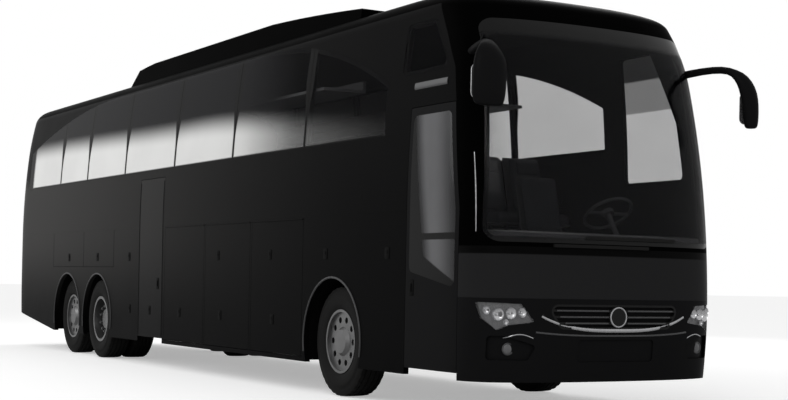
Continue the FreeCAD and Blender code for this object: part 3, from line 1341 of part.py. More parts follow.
def build_drive_axle():
    station = AXLES["drive"]
    reach = "twin_outer + twin_spindle_out"
    tube_half = "twin_outer + twin_hub_in - knuckle_clear"
    parts = [
        rod("drive_spindles", "X", "spindle_radius", (f"-({reach})", station, "tyre_radius"),
            f"2 * ({reach})"),
        rod("drive_tube", "X", "drive_tube", (f"-({tube_half})", station, "tyre_radius"),
            f"2 * ({tube_half})"),
        rod("drive_pot", "X", "drive_pot", ("-drive_pot / 2", station, "tyre_radius"), "drive_pot"),
    ]
    for word, side in SIDES.items():
        parts.append(rod(f"drive_bellows_{word}", "Z", "bellows_radius",
                         (f"{side} * rail_half", station, "tyre_radius"), "rail_low - tyre_radius"))
    publish("drive_axle", fused("drive_axle", parts))


def build_tag_axle():
    station = AXLES["tag"]
    reach = "track_half + spindle_out"
    beam = "track_half + hub_in - knuckle_clear"
    parts = [
        rod("tag_spindles", "X", "spindle_radius", (f"-({reach})", station, "tyre_radius"),
            f"2 * ({reach})"),
        box("tag_beam", (f"-({beam})", beam), (f"{station} - beam_drop", f"{station} + beam_drop"),
            ("tyre_radius - beam_drop", "tyre_radius + beam_drop")),
    ]
    for word, side in SIDES.items():
        parts.append(rod(f"tag_bellows_{word}", "Z", "bellows_radius",
                         (f"{side} * rail_half", station, "tyre_radius + beam_drop"),
                         "rail_low - tyre_radius - beam_drop"))
    publish("tag_axle", fused("tag_axle", parts))


def build_engine():
    half = "rail_half - rail_width / 2 - seat_gap"
    publish("engine_block", box("engine_block", (f"-({half})", half), ("engine_front", "rail_rear - cross_width - seat_gap"),
                                ("engine_low", "engine_top")))


def build_body():
    panels = {
        "roof": roof, "roof_fairing": roof_fairing, "front_dome": front_dome,
        "front_panel": front_panel, "front_bumper": front_bumper, "rear_panel": rear_panel,
        "rear_bumper": rear_bumper, "windscreen": windscreen, "rear_window": rear_window,
        "headlamps": headlamps, "tail_lamps": tail_lamps, "grille": grille,
        "floor_deck": floor_deck, "underframe": underframe, "dashboard": lambda: DASHBOARD,
        "steering_wheel": steering_wheel, "driver_seat": driver_seat,
        "luggage_racks": luggage_racks, "mirror_arms": mirrors, "wipers": wipers,
        "front_door": front_door, "front_door_glass": front_door_glass, "mid_door": mid_door,
        "engine_lid": engine_lid,
    }
    for name, make in panels.items():
        publish(name, feature(name, make()))
    for word, side in SIDES.items():
        publish(f"side_lower_{word}", feature(f"side_lower_{word}", side_lower(side)))
        publish(f"side_upper_{word}", feature(f"side_upper_{word}", side_upper(side)))
        publish(f"side_glass_{word}", feature(f"side_glass_{word}", side_glass(side)))
        publish(f"seats_{word}", feature(f"seats_{word}", passenger_seats(side)))
        for number, span in enumerate(flap_spans(), 1):
            name = f"luggage_flap_{number}_{word}"
            publish(name, feature(name, luggage_flap(side, span)))
    top = S.arm_high + S.wall
    publish("front_door_arms", feature("front_door_arms", door_arms(
        S.door_front, S.door_rear, (S.arm_low, S.arm_high), top)))
    publish("mid_door_arms", feature("mid_door_arms", door_arms(
        S.mid_door_front, S.mid_door_rear, (S.arm_low, S.arm_high), S.arm_high + S.wall)))


def save():
    """Check every object and write each sub-part to its own file."""
    doc.recompute()
    failed = [item.Name for item in doc.Objects if "Invalid" in item.State or "Error" in item.State]
    for name, item in PARTS.items():
        shape = item.Shape
        if shape.isNull() or not shape.isValid() or not shape.Solids:
            failed.append(name)
    if failed:
        raise RuntimeError("not built: " + ", ".join(sorted(set(failed))))
    os.makedirs("parts", exist_ok=True)
    for name, item in PARTS.items():
        item.Shape.exportStep(f"parts/{name}.step")


build_body()
build_wheels()
build_front_axle()
for word, side in SIDES.items():
    build_knuckle(word, side)
build_drive_axle()
build_tag_axle()
build_engine()
save()
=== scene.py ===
import math
import bmesh
import bpy
from mathutils import Matrix, Vector
from mathutils.bvhtree import BVHTree


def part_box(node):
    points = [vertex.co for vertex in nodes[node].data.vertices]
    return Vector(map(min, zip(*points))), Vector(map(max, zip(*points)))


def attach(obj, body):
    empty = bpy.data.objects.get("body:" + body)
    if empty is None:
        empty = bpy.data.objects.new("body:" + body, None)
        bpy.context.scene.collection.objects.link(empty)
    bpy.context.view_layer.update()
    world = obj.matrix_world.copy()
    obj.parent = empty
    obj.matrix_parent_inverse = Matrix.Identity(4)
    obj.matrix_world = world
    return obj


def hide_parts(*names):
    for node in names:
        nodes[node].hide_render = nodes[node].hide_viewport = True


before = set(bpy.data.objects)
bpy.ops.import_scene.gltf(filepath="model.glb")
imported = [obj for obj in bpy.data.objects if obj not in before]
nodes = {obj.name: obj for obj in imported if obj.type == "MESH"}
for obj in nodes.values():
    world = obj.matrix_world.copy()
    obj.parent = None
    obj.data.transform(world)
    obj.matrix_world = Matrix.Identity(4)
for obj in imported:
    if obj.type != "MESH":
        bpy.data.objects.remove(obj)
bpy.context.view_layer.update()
scene = bpy.context.scene

# Camera: it stands low beside the right front corner, about a coach length away, where the
# photograph was taken from. Stations are metres behind the nose, measured along the coach.
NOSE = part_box("front_bumper")[0].y
lens = bpy.data.cameras.new("camera")
camera = bpy.data.objects.new("camera", lens)
scene.collection.objects.link(camera)
scene.camera = camera
lens.sensor_width = 36
lens.lens = 69.11
lens.shift_x = -0.1209
lens.shift_y = 0.1077
scene.view_settings.view_transform = "Standard"
camera.matrix_world = (
    Matrix.Translation((-7.621, NOSE + 2.80 - 12.908, 1.100))
    @ Matrix.Rotation(math.radians(-32.121), 4, "Z")
    @ Matrix.Rotation(math.radians(90 - 0.055), 4, "X")
    @ Matrix.Rotation(math.radians(1.134), 4, "Z"))
lens.clip_end = 400


# Studio: a pale floor that keeps the coach's shadow, a white surround and wide soft lamps, as for a
# catalogue picture.
class Shade:
    """A socket of a finish. Sums and products of shades and numbers become Math nodes."""

    def __init__(self, finish, socket):
        self.finish = finish
        self.socket = socket

    def math(self, operation, *numbers):
        return self.finish.node("ShaderNodeMath", {"operation": operation}, dict(enumerate(numbers)))

    def __add__(self, other):
        return self.math("ADD", self, other)

    __radd__ = __add__

    def __sub__(self, other):
        return self.math("SUBTRACT", self, other)

    def __rsub__(self, other):
        return self.math("SUBTRACT", other, self)

    def __mul__(self, other):
        return self.math("MULTIPLY", self, other)

    __rmul__ = __mul__

    def __abs__(self):
        return self.math("ABSOLUTE", self)

    def least(self, other):
        return self.math("MINIMUM", self, other)

    def most(self, other):
        return self.math("MAXIMUM", self, other)

    def rise(self, low, high):
        """Nothing below low and one above high, with a smooth climb between."""
        return self.finish.node("ShaderNodeMapRange", {"interpolation_type": "SMOOTHSTEP"},
                                {"Value": self, "From Min": low, "From Max": high})

    def fall(self, low, high):
        return 1 - self.rise(low, high)


class Finish:
    """One finish of the coach, built on a principled shader in the coach's own coordinates."""

    def __init__(self, name):
        self.material = bpy.data.materials.new(name)
        self.material.use_nodes = True
        self.tree = self.material.node_tree
        self.shader = self.tree.nodes["Principled BSDF"]
        self.where = self.node("ShaderNodeTexCoord", output="Object")
        split = self.node("ShaderNodeSeparateXYZ", {}, {"Vector": self.where}).socket.node
        self.x, self.y, self.z = (Shade(self, split.outputs[axis]) for axis in "XYZ")

    def node(self, kind, settings=None, values=None, output=0):
        made = self.tree.nodes.new(kind)
        for name, value in (settings or {}).items():
            setattr(made, name, value)
        for name, value in (values or {}).items():
            if isinstance(value, Shade):
                self.tree.links.new(value.socket, made.inputs[name])
            else:
                made.inputs[name].default_value = value
        return Shade(self, made.outputs[output])

    def noise(self, scale, detail=3.0, where=None):
        return self.node("ShaderNodeTexNoise", {}, {
            "Vector": where or self.where, "Scale": scale, "Detail": detail, "Roughness": 0.55})

    def mix(self, share, first, second):
        """A colour between two, each a colour or a shade."""
        first, second = (value if isinstance(value, Shade) else (*value, 1) for value in (first, second))
        return self.node("ShaderNodeMix", {"data_type": "RGBA"}, {0: share, 6: first, 7: second}, 2)

    def bump(self, height, depth):
        return self.node("ShaderNodeBump", {}, {"Height": height, "Distance": depth, "Strength": 1.0})

    def wear(self, **values):
        """Give the shader its values; a varying one is linked, a plain one is set on its socket."""
        for word, value in values.items():
            socket = self.shader.inputs[word.replace("_", " ")]
            if isinstance(value, Shade):
                self.tree.links.new(value.socket, socket)
            elif isinstance(value, tuple):
                socket.default_value = (*value, 1)
            else:
                socket.default_value = value
        return self


floor_finish = Finish("studio_floor")
grain = floor_finish.noise(0.8)
floor_finish.wear(
    Base_Color=floor_finish.mix(grain, (0.80, 0.80, 0.80), (0.83, 0.83, 0.83)), Roughness=0.9)
floor_finish.shader.inputs["Specular IOR Level"].default_value = 0.0
seen = floor_finish.node("ShaderNodeLightPath", output="Is Camera Ray")
glow = floor_finish.node("ShaderNodeEmission", {}, {"Color": (1, 1, 1, 1), "Strength": seen * 0.40})
both = floor_finish.node("ShaderNodeAddShader", {}, {
    0: Shade(floor_finish, floor_finish.shader.outputs[0]), 1: glow})
floor_finish.tree.links.new(
    both.socket, floor_finish.tree.nodes["Material Output"].inputs["Surface"])

ground = bmesh.new()
bmesh.ops.create_grid(ground, x_segments=1, y_segments=1, size=150)
floor_data = bpy.data.meshes.new("floor")
ground.to_mesh(floor_data)
ground.free()
floor = bpy.data.objects.new("floor", floor_data)
floor_data.materials.append(floor_finish.material)
scene.collection.objects.link(floor)

world = bpy.data.worlds.new("surround")
scene.world = world
world.use_nodes = True
air = world.node_tree
backdrop = air.nodes["Background"]
backdrop.inputs["Color"].default_value = (1, 1, 1, 1)
path = air.nodes.new("ShaderNodeLightPath")
either = path.outputs["Is Camera Ray"]
for ray in ("Is Glossy Ray", "Is Transmission Ray"):
    larger = air.nodes.new("ShaderNodeMath")
    larger.operation = "MAXIMUM"
    air.links.new(either, larger.inputs[0])
    air.links.new(path.outputs[ray], larger.inputs[1])
    either = larger.outputs[0]
level = air.nodes.new("ShaderNodeMapRange")
level.inputs["To Min"].default_value = 0.62
level.inputs["To Max"].default_value = 1.0
air.links.new(either, level.inputs["Value"])
air.links.new(level.outputs[0], backdrop.inputs["Strength"])

for name, spot, aim, size, power in (
        ("key_lamp", (-9, NOSE - 9, 9), (0, NOSE + 4, 1.5), 7, 520),
        ("side_lamp", (-13, NOSE + 12, 8), (0, NOSE + 8, 1.5), 9, 620),
        ("back_lamp", (10, NOSE + 16, 9), (0, NOSE + 9, 2), 8, 480)):
    lamp_data = bpy.data.lights.new(name, "AREA")
    lamp_data.size = size
    lamp_data.energy = power
    lamp = bpy.data.objects.new(name, lamp_data)
    lamp.matrix_world = (Matrix.Translation(spot)
                         @ (Vector(aim) - Vector(spot)).to_track_quat("-Z", "Y").to_matrix().to_4x4())
    scene.collection.objects.link(lamp)


# Painted shell: steel and plastic panels in gloss black, with a faint orange peel and a lighter tone towards
# the tail that is partly a film of road dust and partly painted sheen. The roof and the dome wear a darker
# copy of the paint as painted shade; the nose, the front panel and the middle door leaf wear lighter copies
# as painted light.
def dress(finish, *names):
    """Give CAD nodes a finish."""
    for name in names:
        nodes[name].data.materials.clear()
        nodes[name].data.materials.append(finish.material)


def painted(name, deep, sheen_and_dust_tone, gloss):
    """Black paint that lightens towards the tail and upwards from the sill, partly road dust and partly
    painted sheen, and keeps its deep colour above the windows.
    """
    paint = Finish(name)
    streak = paint.noise(2.2, 4.0)
    # painted sheen with road dust mixed in: the paint lightens towards the tail and upwards from the sill to
    # the windows
    dust_and_sheen = ((paint.y - NOSE).rise(2.0, 15.0) * (0.8 + streak * 0.4) * paint.z.rise(0.45, 1.75)
            * paint.z.fall(2.35, 2.6))
    peel = paint.noise(420.0, 1.0)
    return paint.wear(
        Base_Color=paint.mix(dust_and_sheen, deep, sheen_and_dust_tone), Roughness=0.28 + streak * 0.12,
        Specular_IOR_Level=gloss, Normal=paint.bump(peel, 0.00004))


paint = painted("paint", (0.0018, 0.0018, 0.0019), (0.040, 0.039, 0.038), 0.0075)
dress(paint, "side_lower_left", "side_lower_right", "side_upper_left", "side_upper_right", "rear_panel",
      "rear_bumper", "engine_lid",
      *(f"luggage_flap_{number}_{side}" for number in (1, 2, 3) for side in ("left", "right")))
# middle door leaf: a lighter copy of the black paint as painted light
lit_leaf_paint = painted("lit_leaf_paint", (0.0060, 0.0060, 0.0062), (0.050, 0.049, 0.048), 0.010)
dress(lit_leaf_paint, "mid_door")
# roof, fairing, dome and mirror arms: a darker copy of the black paint as painted shade
shaded_roof_paint = painted("shaded_roof_paint", (0.0008, 0.0008, 0.0008), (0.002, 0.002, 0.002), 0.0012)
dress(shaded_roof_paint, "roof", "roof_fairing", "front_dome", "mirror_arms")
# front panel: a lighter copy of the black paint as painted light, near black along its top edge under the
# windscreen
lit_hatch_paint = Finish("lit_hatch_paint")
swirl = lit_hatch_paint.noise(2.2, 4.0)
lit_hatch_paint.wear(
    Base_Color=lit_hatch_paint.mix(
        lit_hatch_paint.z.rise(1.335, 1.350), (0.0145, 0.0145, 0.0150), (0.002, 0.002, 0.002)),
    Roughness=0.28 + swirl * 0.12, Specular_IOR_Level=0.011)
dress(lit_hatch_paint, "front_panel")
# front bumper, front door and mirror heads: a lighter copy of the black paint as painted light
lit_nose_paint = painted("lit_nose_paint", (0.0060, 0.0060, 0.0063), (0.016, 0.0155, 0.015), 0.011)
dress(lit_nose_paint, "front_bumper", "front_door")


# Windscreen: one curved laminated pane bonded to the dome, clear in the middle, with a black printed
# border that hides the glue and a darker band along its top.
screen = Finish("windscreen_glass")
height = screen.z
half = 1.215 - (height - 1.71) * 0.075
edge = (half - abs(screen.x)).fall(0.035, 0.06)
border = edge.most(height.fall(1.47, 1.50)).most(height.rise(3.12, 3.2))
smear = screen.noise(3.0)
screen.wear(
    Base_Color=screen.mix(border, (0.006, 0.006, 0.007), (0.002, 0.002, 0.002)),
    Roughness=0.05 + smear * 0.03, Specular_IOR_Level=0.12,
    Alpha=(0.22 + smear * 0.05).most(border))
dress(screen, "windscreen")


# Side glass: dark bonded panes behind one flush line. A pale painted reflection lies over the lower part of
# the panes and fades into the tint above it; printed black edges widen towards the top at each joint.
side_glass = Finish("side_glass")
station = side_glass.y - NOSE
# painted reflection: the lower part of each pane is pale and fades into the dark tint above it
reflection_top = 2.48 + station.rise(1.0, 6.5) * 0.33 + station.rise(6.0, 13.0) * 0.13
painted_reflection = (side_glass.z - reflection_top).fall(-0.14, 0.17) * station.rise(1.0, 6.2)
joint = 1.0
for place in (3.52, 5.34, 7.12, 8.91, 10.49, 11.75):
    near = abs(station - place)
    joint = near.least(joint) if isinstance(joint, float) else joint.least(near)
widening = 0.014 + side_glass.z.rise(2.62, 3.10) * 0.060
print_edge = (joint - widening).fall(0.0, 0.03)
print_edge = (print_edge.most(side_glass.z.fall(2.41, 2.43) * station.rise(1.8, 1.9))
              .most(station.rise(13.13, 13.23)))
drift = side_glass.noise(0.9)
pale = side_glass.mix(painted_reflection * (0.85 + drift * 0.2), (0.008, 0.008, 0.009), (0.80, 0.80, 0.79))
clear = station.fall(3.6, 5.4)
# the front pane on the left side grows more opaque in two steps upwards, from 2.75 m and from 3.05 m
opaque_bands = (station.fall(1.55, 1.65) * side_glass.x.rise(0.2, 0.4)
         * (side_glass.z.rise(2.74, 2.76) * 0.30 + side_glass.z.rise(3.04, 3.06) * 0.35))
side_glass.wear(
    Base_Color=side_glass.mix(print_edge, pale, (0.006, 0.006, 0.006)),
    Roughness=0.07 + drift * 0.05, Specular_IOR_Level=0.012,
    Alpha=(0.95 + painted_reflection * 0.02 - clear * 0.75 + opaque_bands).most(print_edge))
dress(side_glass, "side_glass_left", "side_glass_right")


# Door and tail glass: tinted safety glass, set flush in its frame; the door glass carries a painted sheen
# across the pane.
door_glass = Finish("door_glass")
behind = door_glass.y - NOSE
rear_edge = 1.06 + (door_glass.z - 1.27) * 0.172
front_edge = 0.457 + (door_glass.z - 1.04) * 0.066
rim_print = (behind - rear_edge).rise(-0.01, 0.01).most((behind - front_edge).fall(-0.03, 0.0))
rim_print = rim_print.most((abs(door_glass.z - 1.487) - 0.028).fall(-0.004, 0.004))
rim_print = rim_print.most((door_glass.z - 1.29 + (0.99 - behind) * 0.42).fall(-0.01, 0.01))
rim_print = rim_print.most(door_glass.z.rise(2.54, 2.58))
# painted sheen: a lighter grey across the door pane, fading at its front and rear edges
painted_sheen = (behind - front_edge).rise(0.0, 0.42) * (behind - rear_edge).fall(-0.16, 0.02)
mottle = door_glass.noise(1.6)
tint_and_sheen = door_glass.mix(painted_sheen * (0.65 + mottle * 0.4), (0.016, 0.016, 0.017), (0.14, 0.14, 0.145))
door_glass.wear(
    Base_Color=door_glass.mix(rim_print, tint_and_sheen, (0.002, 0.002, 0.002)),
    Roughness=0.08 + mottle * 0.05, Specular_IOR_Level=0.05, Alpha=(0.86 + painted_sheen * 0.1).most(rim_print))
dress(door_glass, "front_door_glass")

tail_glass = Finish("tail_glass")
film = tail_glass.noise(1.2)
tail_glass.wear(
    Base_Color=tail_glass.mix(film, (0.008, 0.008, 0.009), (0.014, 0.014, 0.016)),
    Roughness=0.06 + film * 0.04, Specular_IOR_Level=0.2, Alpha=0.9)
dress(tail_glass, "rear_window")


# Saloon lining, floor covering and fascia: moulded grey plastics and a speckled vinyl floor.
def moulded(name, dark, light, grain_scale, roughness):
    plastic = Finish(name)
    cloud = plastic.noise(1.7)
    pebble = plastic.noise(grain_scale, 2.0)
    return plastic.wear(
        Base_Color=plastic.mix(cloud, dark, light), Roughness=roughness + cloud * 0.1,
        Specular_IOR_Level=0.3, Normal=plastic.bump(pebble, 0.0004))


lining = moulded("lining", (0.045, 0.045, 0.047), (0.07, 0.07, 0.072), 160, 0.6)
vinyl = moulded("floor_vinyl", (0.030, 0.031, 0.034), (0.06, 0.06, 0.064), 320, 0.55)
fascia = moulded("dash_plastic", (0.035, 0.035, 0.038), (0.055, 0.055, 0.058), 260, 0.6)
dress(lining, "luggage_racks")
dress(vinyl, "floor_deck")
dress(fascia, "dashboard", "steering_wheel")


# Chassis: welded steel frame in black frame paint, cast axles, knuckles and engine block, all with patches
# of road grime.
def metal(name, dark, light, metallic, roughness, grain_scale=60):
    plate = Finish(name)
    cloud = plate.noise(3.0, 5.0)
    fine = plate.noise(grain_scale, 3.0)
    return plate.wear(
        Base_Color=plate.mix(cloud, dark, light), Metallic=metallic,
        Roughness=roughness + fine * 0.15, Normal=plate.bump(fine, 0.0006))


frame_paint = metal("frame_paint", (0.012, 0.012, 0.012), (0.035, 0.031, 0.027), 0.0, 0.5)
casting = metal("cast_iron", (0.03, 0.028, 0.026), (0.06, 0.052, 0.045), 0.3, 0.55, 140)
dress(frame_paint, "underframe")
dress(casting, "front_axle", "drive_axle", "tag_axle", "knuckle_left", "knuckle_right", "engine_block")
arm_steel = metal("arm_steel", (0.05, 0.05, 0.052), (0.09, 0.09, 0.092), 0.6, 0.35, 200)
dress(arm_steel, "front_door_arms", "mid_door_arms")


# Rims: pressed steel discs with hand holes, polished bright.
rim_steel = metal("rim_steel", (0.07, 0.07, 0.072), (0.20, 0.20, 0.20), 0.85, 0.28, 240)
WHEELS = {
    "front_rim_right": "front_wheel_right", "front_rim_left": "front_wheel_left",
    "drive_rims_right": "drive_wheel_right", "drive_rims_left": "drive_wheel_left",
    "tag_rim_right": "tag_wheel_right", "tag_rim_left": "tag_wheel_left"}
dress(rim_steel, *WHEELS)

def piece(name, mesh, finish, body="coach", sharp=35):
    """Make an object of the coach from a bmesh, and say what it moves with."""
    bmesh.ops.recalc_face_normals(mesh, faces=mesh.faces)
    data = bpy.data.meshes.new(name)
    mesh.to_mesh(data)
    mesh.free()
    data.shade_smooth()
    data.set_sharp_from_angle(angle=math.radians(sharp))
    data.materials.append(finish.material)
    made = bpy.data.objects.new(name, data)
    scene.collection.objects.link(made)
    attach(made, body)
    return made


def middle(name):
    low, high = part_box(name)
    return (low + high) / 2


NUTS = 10
NUT_CIRCLE = 0.1675
for rim, body in WHEELS.items():
    side = -1 if rim.endswith("right") else 1
    low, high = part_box(rim)
    hub = middle(rim)
    face = high.x if side > 0 else low.x
    mesh = bmesh.new()
    for index in range(NUTS):
        turn = Matrix.Rotation(math.tau * (index + 0.5) / NUTS, 4, "X")
        spot = Vector((0, NUT_CIRCLE, 0))
        seat = (Matrix.Translation((face - side * 0.062, hub.y, hub.z)) @ turn
                @ Matrix.Translation(spot) @ Matrix.Rotation(side * math.pi / 2, 4, "Y"))
        bmesh.ops.create_cone(mesh, segments=6, cap_ends=True, radius1=0.017, radius2=0.015,
                              depth=0.03, matrix=seat)
        bmesh.ops.create_cone(mesh, segments=12, cap_ends=True, radius1=0.021, radius2=0.021,
                              depth=0.008, matrix=seat)
    piece(rim + "_nuts", mesh, rim_steel, body)


# Tyres: radials of size 295/80 R22.5 with five ribs, notched shoulders and two moulded rings on
# each wall.
rubber = Finish("tyre_rubber")
scuff = rubber.noise(14.0, 5.0)
rubber.wear(
    Base_Color=rubber.mix(scuff, (0.0045, 0.0045, 0.0045), (0.010, 0.0098, 0.0095)),
    Roughness=0.7 + scuff * 0.15, Specular_IOR_Level=0.08, Normal=rubber.bump(scuff, 0.0008))
TREAD_STEPS = 72
TYRE_HALF = 0.143
TREAD = (  # out from the middle and radius, half a section from bead to the middle line
    (0.108, 0.2925), (0.126, 0.318), (0.1385, 0.352), (0.1415, 0.372), (0.143, 0.404), (0.1425, 0.436),
    (0.139, 0.440), (0.136, 0.468), (0.130, 0.497), (0.120, 0.5125), (0.084, 0.5150),
    (0.082, 0.506), (0.074, 0.506), (0.072, 0.5155), (0.032, 0.5165), (0.030, 0.507),
    (0.022, 0.507), (0.020, 0.5165))


def tyre(mesh, x, y, z):
    """Spin one tyre's section about its axle, then raise the tread blocks."""
    corners = [(out, radius) for out, radius in TREAD] + [(-out, radius) for out, radius in TREAD[::-1]]
    ring = [mesh.verts.new((x + out, y, z + radius)) for out, radius in corners]
    edges = [mesh.edges.new(pair) for pair in zip(ring, ring[1:])]
    edges.append(mesh.edges.new((ring[-1], ring[0])))
    known = set(mesh.faces)
    bmesh.ops.spin(mesh, geom=ring + edges, cent=(x, y, z), axis=(1, 0, 0), angle=math.tau,
                   steps=TREAD_STEPS, use_merge=True)
    blocks = []
    for face in mesh.faces:
        if face in known:
            continue
        spot = face.calc_center_median()
        reach = math.hypot(spot.y - y, spot.z - z)
        turn = int(math.floor((math.atan2(spot.z - z, spot.y - y) / math.tau % 1) * TREAD_STEPS))
        out = abs(spot.x - x)
        if reach > 0.512 and (out < 0.08 or turn % 2):
            blocks.append(face)
    bmesh.ops.inset_individual(mesh, faces=blocks, thickness=0.0022, depth=0.005)


for rim, body in WHEELS.items():
    name = rim.replace("rims", "tyres").replace("rim", "tyre")
    hub = middle(name)
    low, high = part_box(name)
    mesh = bmesh.new()
    for x in sorted({round(low.x + TYRE_HALF, 4), round(high.x - TYRE_HALF, 4)}):
        tyre(mesh, x, hub.y, hub.z)
    made = piece(name + "_tread", mesh, rubber, body, 50)
    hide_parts(name)
dress(rubber, "wipers")


# Arch lips: a rolled edge of black plastic round each wheel opening, which catches the light.
def surface(*names):
    """The faces of some CAD nodes, to rest trim on."""
    points, faces = [], []
    for name in names:
        data = nodes[name].data
        start = len(points)
        points += [vertex.co.copy() for vertex in data.vertices]
        faces += [[start + corner for corner in polygon.vertices] for polygon in data.polygons]
    return BVHTree.FromPolygons(points, faces)


def sweep(mesh, places, across, out, segments=8, closed=False):
    """Drag an oval section through places, each a point and its outward direction."""
    frames = []
    count = len(places)
    for index, (point, outward) in enumerate(places):
        before = places[index - 1][0] if index or closed else point
        after = places[(index + 1) % count][0] if index < count - 1 or closed else point
        along = (after - before).normalized()
        beside = along.cross(outward).normalized()
        turn = Matrix((beside, along.cross(beside) * -1, along)).transposed().to_4x4()
        wide = across[index] if isinstance(across, (list, tuple)) else across
        tall = out[index] if isinstance(out, (list, tuple)) else out
        frames.append(Matrix.Translation(point) @ turn @ Matrix.Diagonal((wide, tall, 1, 1)))
    verts = bmesh.ops.create_circle(mesh, segments=segments, radius=1, matrix=frames[0])["verts"]
    first = edges = list({edge for vertex in verts for edge in vertex.link_edges})
    for old, new in zip(frames, frames[1:]):
        grown = bmesh.ops.extrude_edge_only(mesh, edges=edges)["geom"]
        verts = [item for item in grown if isinstance(item, bmesh.types.BMVert)]
        edges = [item for item in grown if isinstance(item, bmesh.types.BMEdge)
                 and all(vertex in verts for vertex in item.verts)]
        bmesh.ops.transform(mesh, matrix=new @ old.inverted(), verts=verts)
    if closed:
        bmesh.ops.bridge_loops(mesh, edges=first + edges)
    else:
        bmesh.ops.contextual_create(mesh, geom=first)
        bmesh.ops.contextual_create(mesh, geom=edges)


lip_rubber = Finish("lip_rubber")
bloom = lip_rubber.noise(22.0)
lip_rubber.wear(
    Base_Color=lip_rubber.mix(bloom, (0.020, 0.020, 0.021), (0.036, 0.036, 0.037)),
    Roughness=0.42 + bloom * 0.1, Specular_IOR_Level=0.25)
SIDES = {"right": -1, "left": 1}
AXLES = {"front": 2.80, "drive": 9.92, "tag": 11.27}
HUB_HEIGHT = 0.522
LIP_RADIUS = 0.606
LIP_OUT = 1.2765
LIP_FOOT = 0.36
for side_name, side in SIDES.items():
    for axle, place in AXLES.items():
        mesh = bmesh.new()
        ring = []
        for step in range(33):
            angle = math.pi * (-0.10 + 1.20 * step / 32)
            ring.append((Vector((side * LIP_OUT, NOSE + place + LIP_RADIUS * math.cos(angle),
                                 HUB_HEIGHT + LIP_RADIUS * math.sin(angle))), Vector((side, 0, 0))))
        sweep(mesh, [spot for spot in ring if spot[0].z > LIP_FOOT], 0.011, 0.009)
        piece(f"arch_lip_{axle}_{side_name}", mesh, lip_rubber)


# Flap and panel locks: black square-key locks in rounded plates, flush on the lower side panels. The
# ones on the luggage flaps move with the flaps.
def plate(mesh, spot, outward, half_width, half_height, thick, corner):
    """A rounded plate on a face; its corners and its outer edge are eased."""
    side = Vector((0, 0, 1)).cross(outward).normalized()
    up = outward.cross(side)
    turn = Matrix((side, up, outward)).transposed().to_4x4()
    place = (Matrix.Translation(spot) @ turn @ Matrix.Diagonal((half_width, half_height, thick / 2, 1)))
    made = bmesh.ops.create_cube(mesh, size=2, matrix=place)["verts"]
    edges = {edge for vertex in made for edge in vertex.link_edges}
    uprights = [edge for edge in edges
                if abs((edge.verts[0].co - edge.verts[1].co).normalized().dot(outward)) > 0.99]
    done = bmesh.ops.bevel(mesh, geom=uprights, offset=corner, segments=4, profile=0.5,
                           affect="EDGES", material=-1)
    verts = {vertex for face in done["faces"] for vertex in face.verts}
    verts |= {vertex for vertex in made if vertex.is_valid}
    faces = {face for vertex in verts for face in vertex.link_faces}
    outer = max(faces, key=lambda face: face.calc_center_median().dot(outward))
    bmesh.ops.bevel(mesh, geom=list(outer.edges), offset=min(thick * 0.4, corner * 0.5), segments=2,
                    profile=0.5, affect="EDGES", material=-1)


lock_black = Finish("lock_black")
sparkle = lock_black.noise(90.0)
lock_black.wear(
    Base_Color=lock_black.mix(sparkle, (0.0015, 0.0015, 0.0015), (0.004, 0.004, 0.004)),
    Roughness=0.5 + sparkle * 0.2, Specular_IOR_Level=0.02)
FLAPS = ((1, 3.460, 4.727), (2, 4.767, 6.033), (3, 6.073, 7.340))
UPPER_LOCKS = (11.19, 9.91, 8.62, 5.65, 4.25, 2.95, 1.71)
LOWER_LOCKS = (8.58, 7.84, 6.82, 5.57, 4.17)
for side_name, side in SIDES.items():
    skin = surface(f"side_lower_{side_name}", "mid_door",
                   *(f"luggage_flap_{number}_{side_name}" for number, front, rear in FLAPS))
    for row, (z, places) in enumerate(((1.35, UPPER_LOCKS), (0.69, LOWER_LOCKS))):
        for place in places:
            body = "coach"
            for number, front, rear in FLAPS:
                if front < place < rear:
                    body = f"flap_{number}_{side_name}"
            if side < 0 and 7.40 < place < 8.26:
                body = "mid_leaf"
            spot, normal, face, gap = skin.ray_cast(
                Vector((side * 2, NOSE + place, z)), Vector((-side, 0, 0)))
            mesh = bmesh.new()
            plate(mesh, spot + Vector((side * 0.0015, 0, 0)), Vector((side, 0, 0)),
                  0.042, 0.054, 0.005, 0.014)
            bmesh.ops.create_cone(mesh, segments=20, cap_ends=True, radius1=0.017, radius2=0.015,
                                  depth=0.006, matrix=Matrix.Translation(
                                      spot + Vector((side * 0.004, 0, 0.012)))
                                  @ Matrix.Rotation(side * math.pi / 2, 4, "Y"))
            piece(f"lock_{row}_{int(place * 100)}_{side_name}", mesh, lock_black, body)


# Service seams: the rear service panels are bonded skins whose joints show as thin black lines, three
# upright ones and a level one.
SEAM_OUT = 1.2752
SEAM_LOW = 1.22
for side_name, side in SIDES.items():
    mesh = bmesh.new()
    outward = Vector((side, 0, 0))
    for place in (11.96, 10.53, 9.24):
        sweep(mesh, [(Vector((side * SEAM_OUT, NOSE + place, z)), outward)
                     for z in (SEAM_LOW, 1.46, 1.70)], 0.004, 0.0012, 6)
    sweep(mesh, [(Vector((side * SEAM_OUT, NOSE + place, SEAM_LOW)), outward)
                 for place in (9.24, 10.6, 11.96)], 0.004, 0.0012, 6)
    piece(f"service_seams_{side_name}", mesh, lock_black)


# Headlamps: a clear cover that follows the wing, a dark housing behind it and five bright bowls, each
# with its bulb.
def skin_copy(name, keep, shift):
    """The outer faces of a CAD node, moved in along their normals."""
    mesh = bmesh.new()
    mesh.from_mesh(nodes[name].data)
    bmesh.ops.remove_doubles(mesh, verts=mesh.verts, dist=0.00002)
    bmesh.ops.delete(mesh, geom=[face for face in mesh.faces if not keep(face)], context="FACES")
    mesh.normal_update()
    for vertex in mesh.verts:
        vertex.co -= vertex.normal * shift
    return mesh


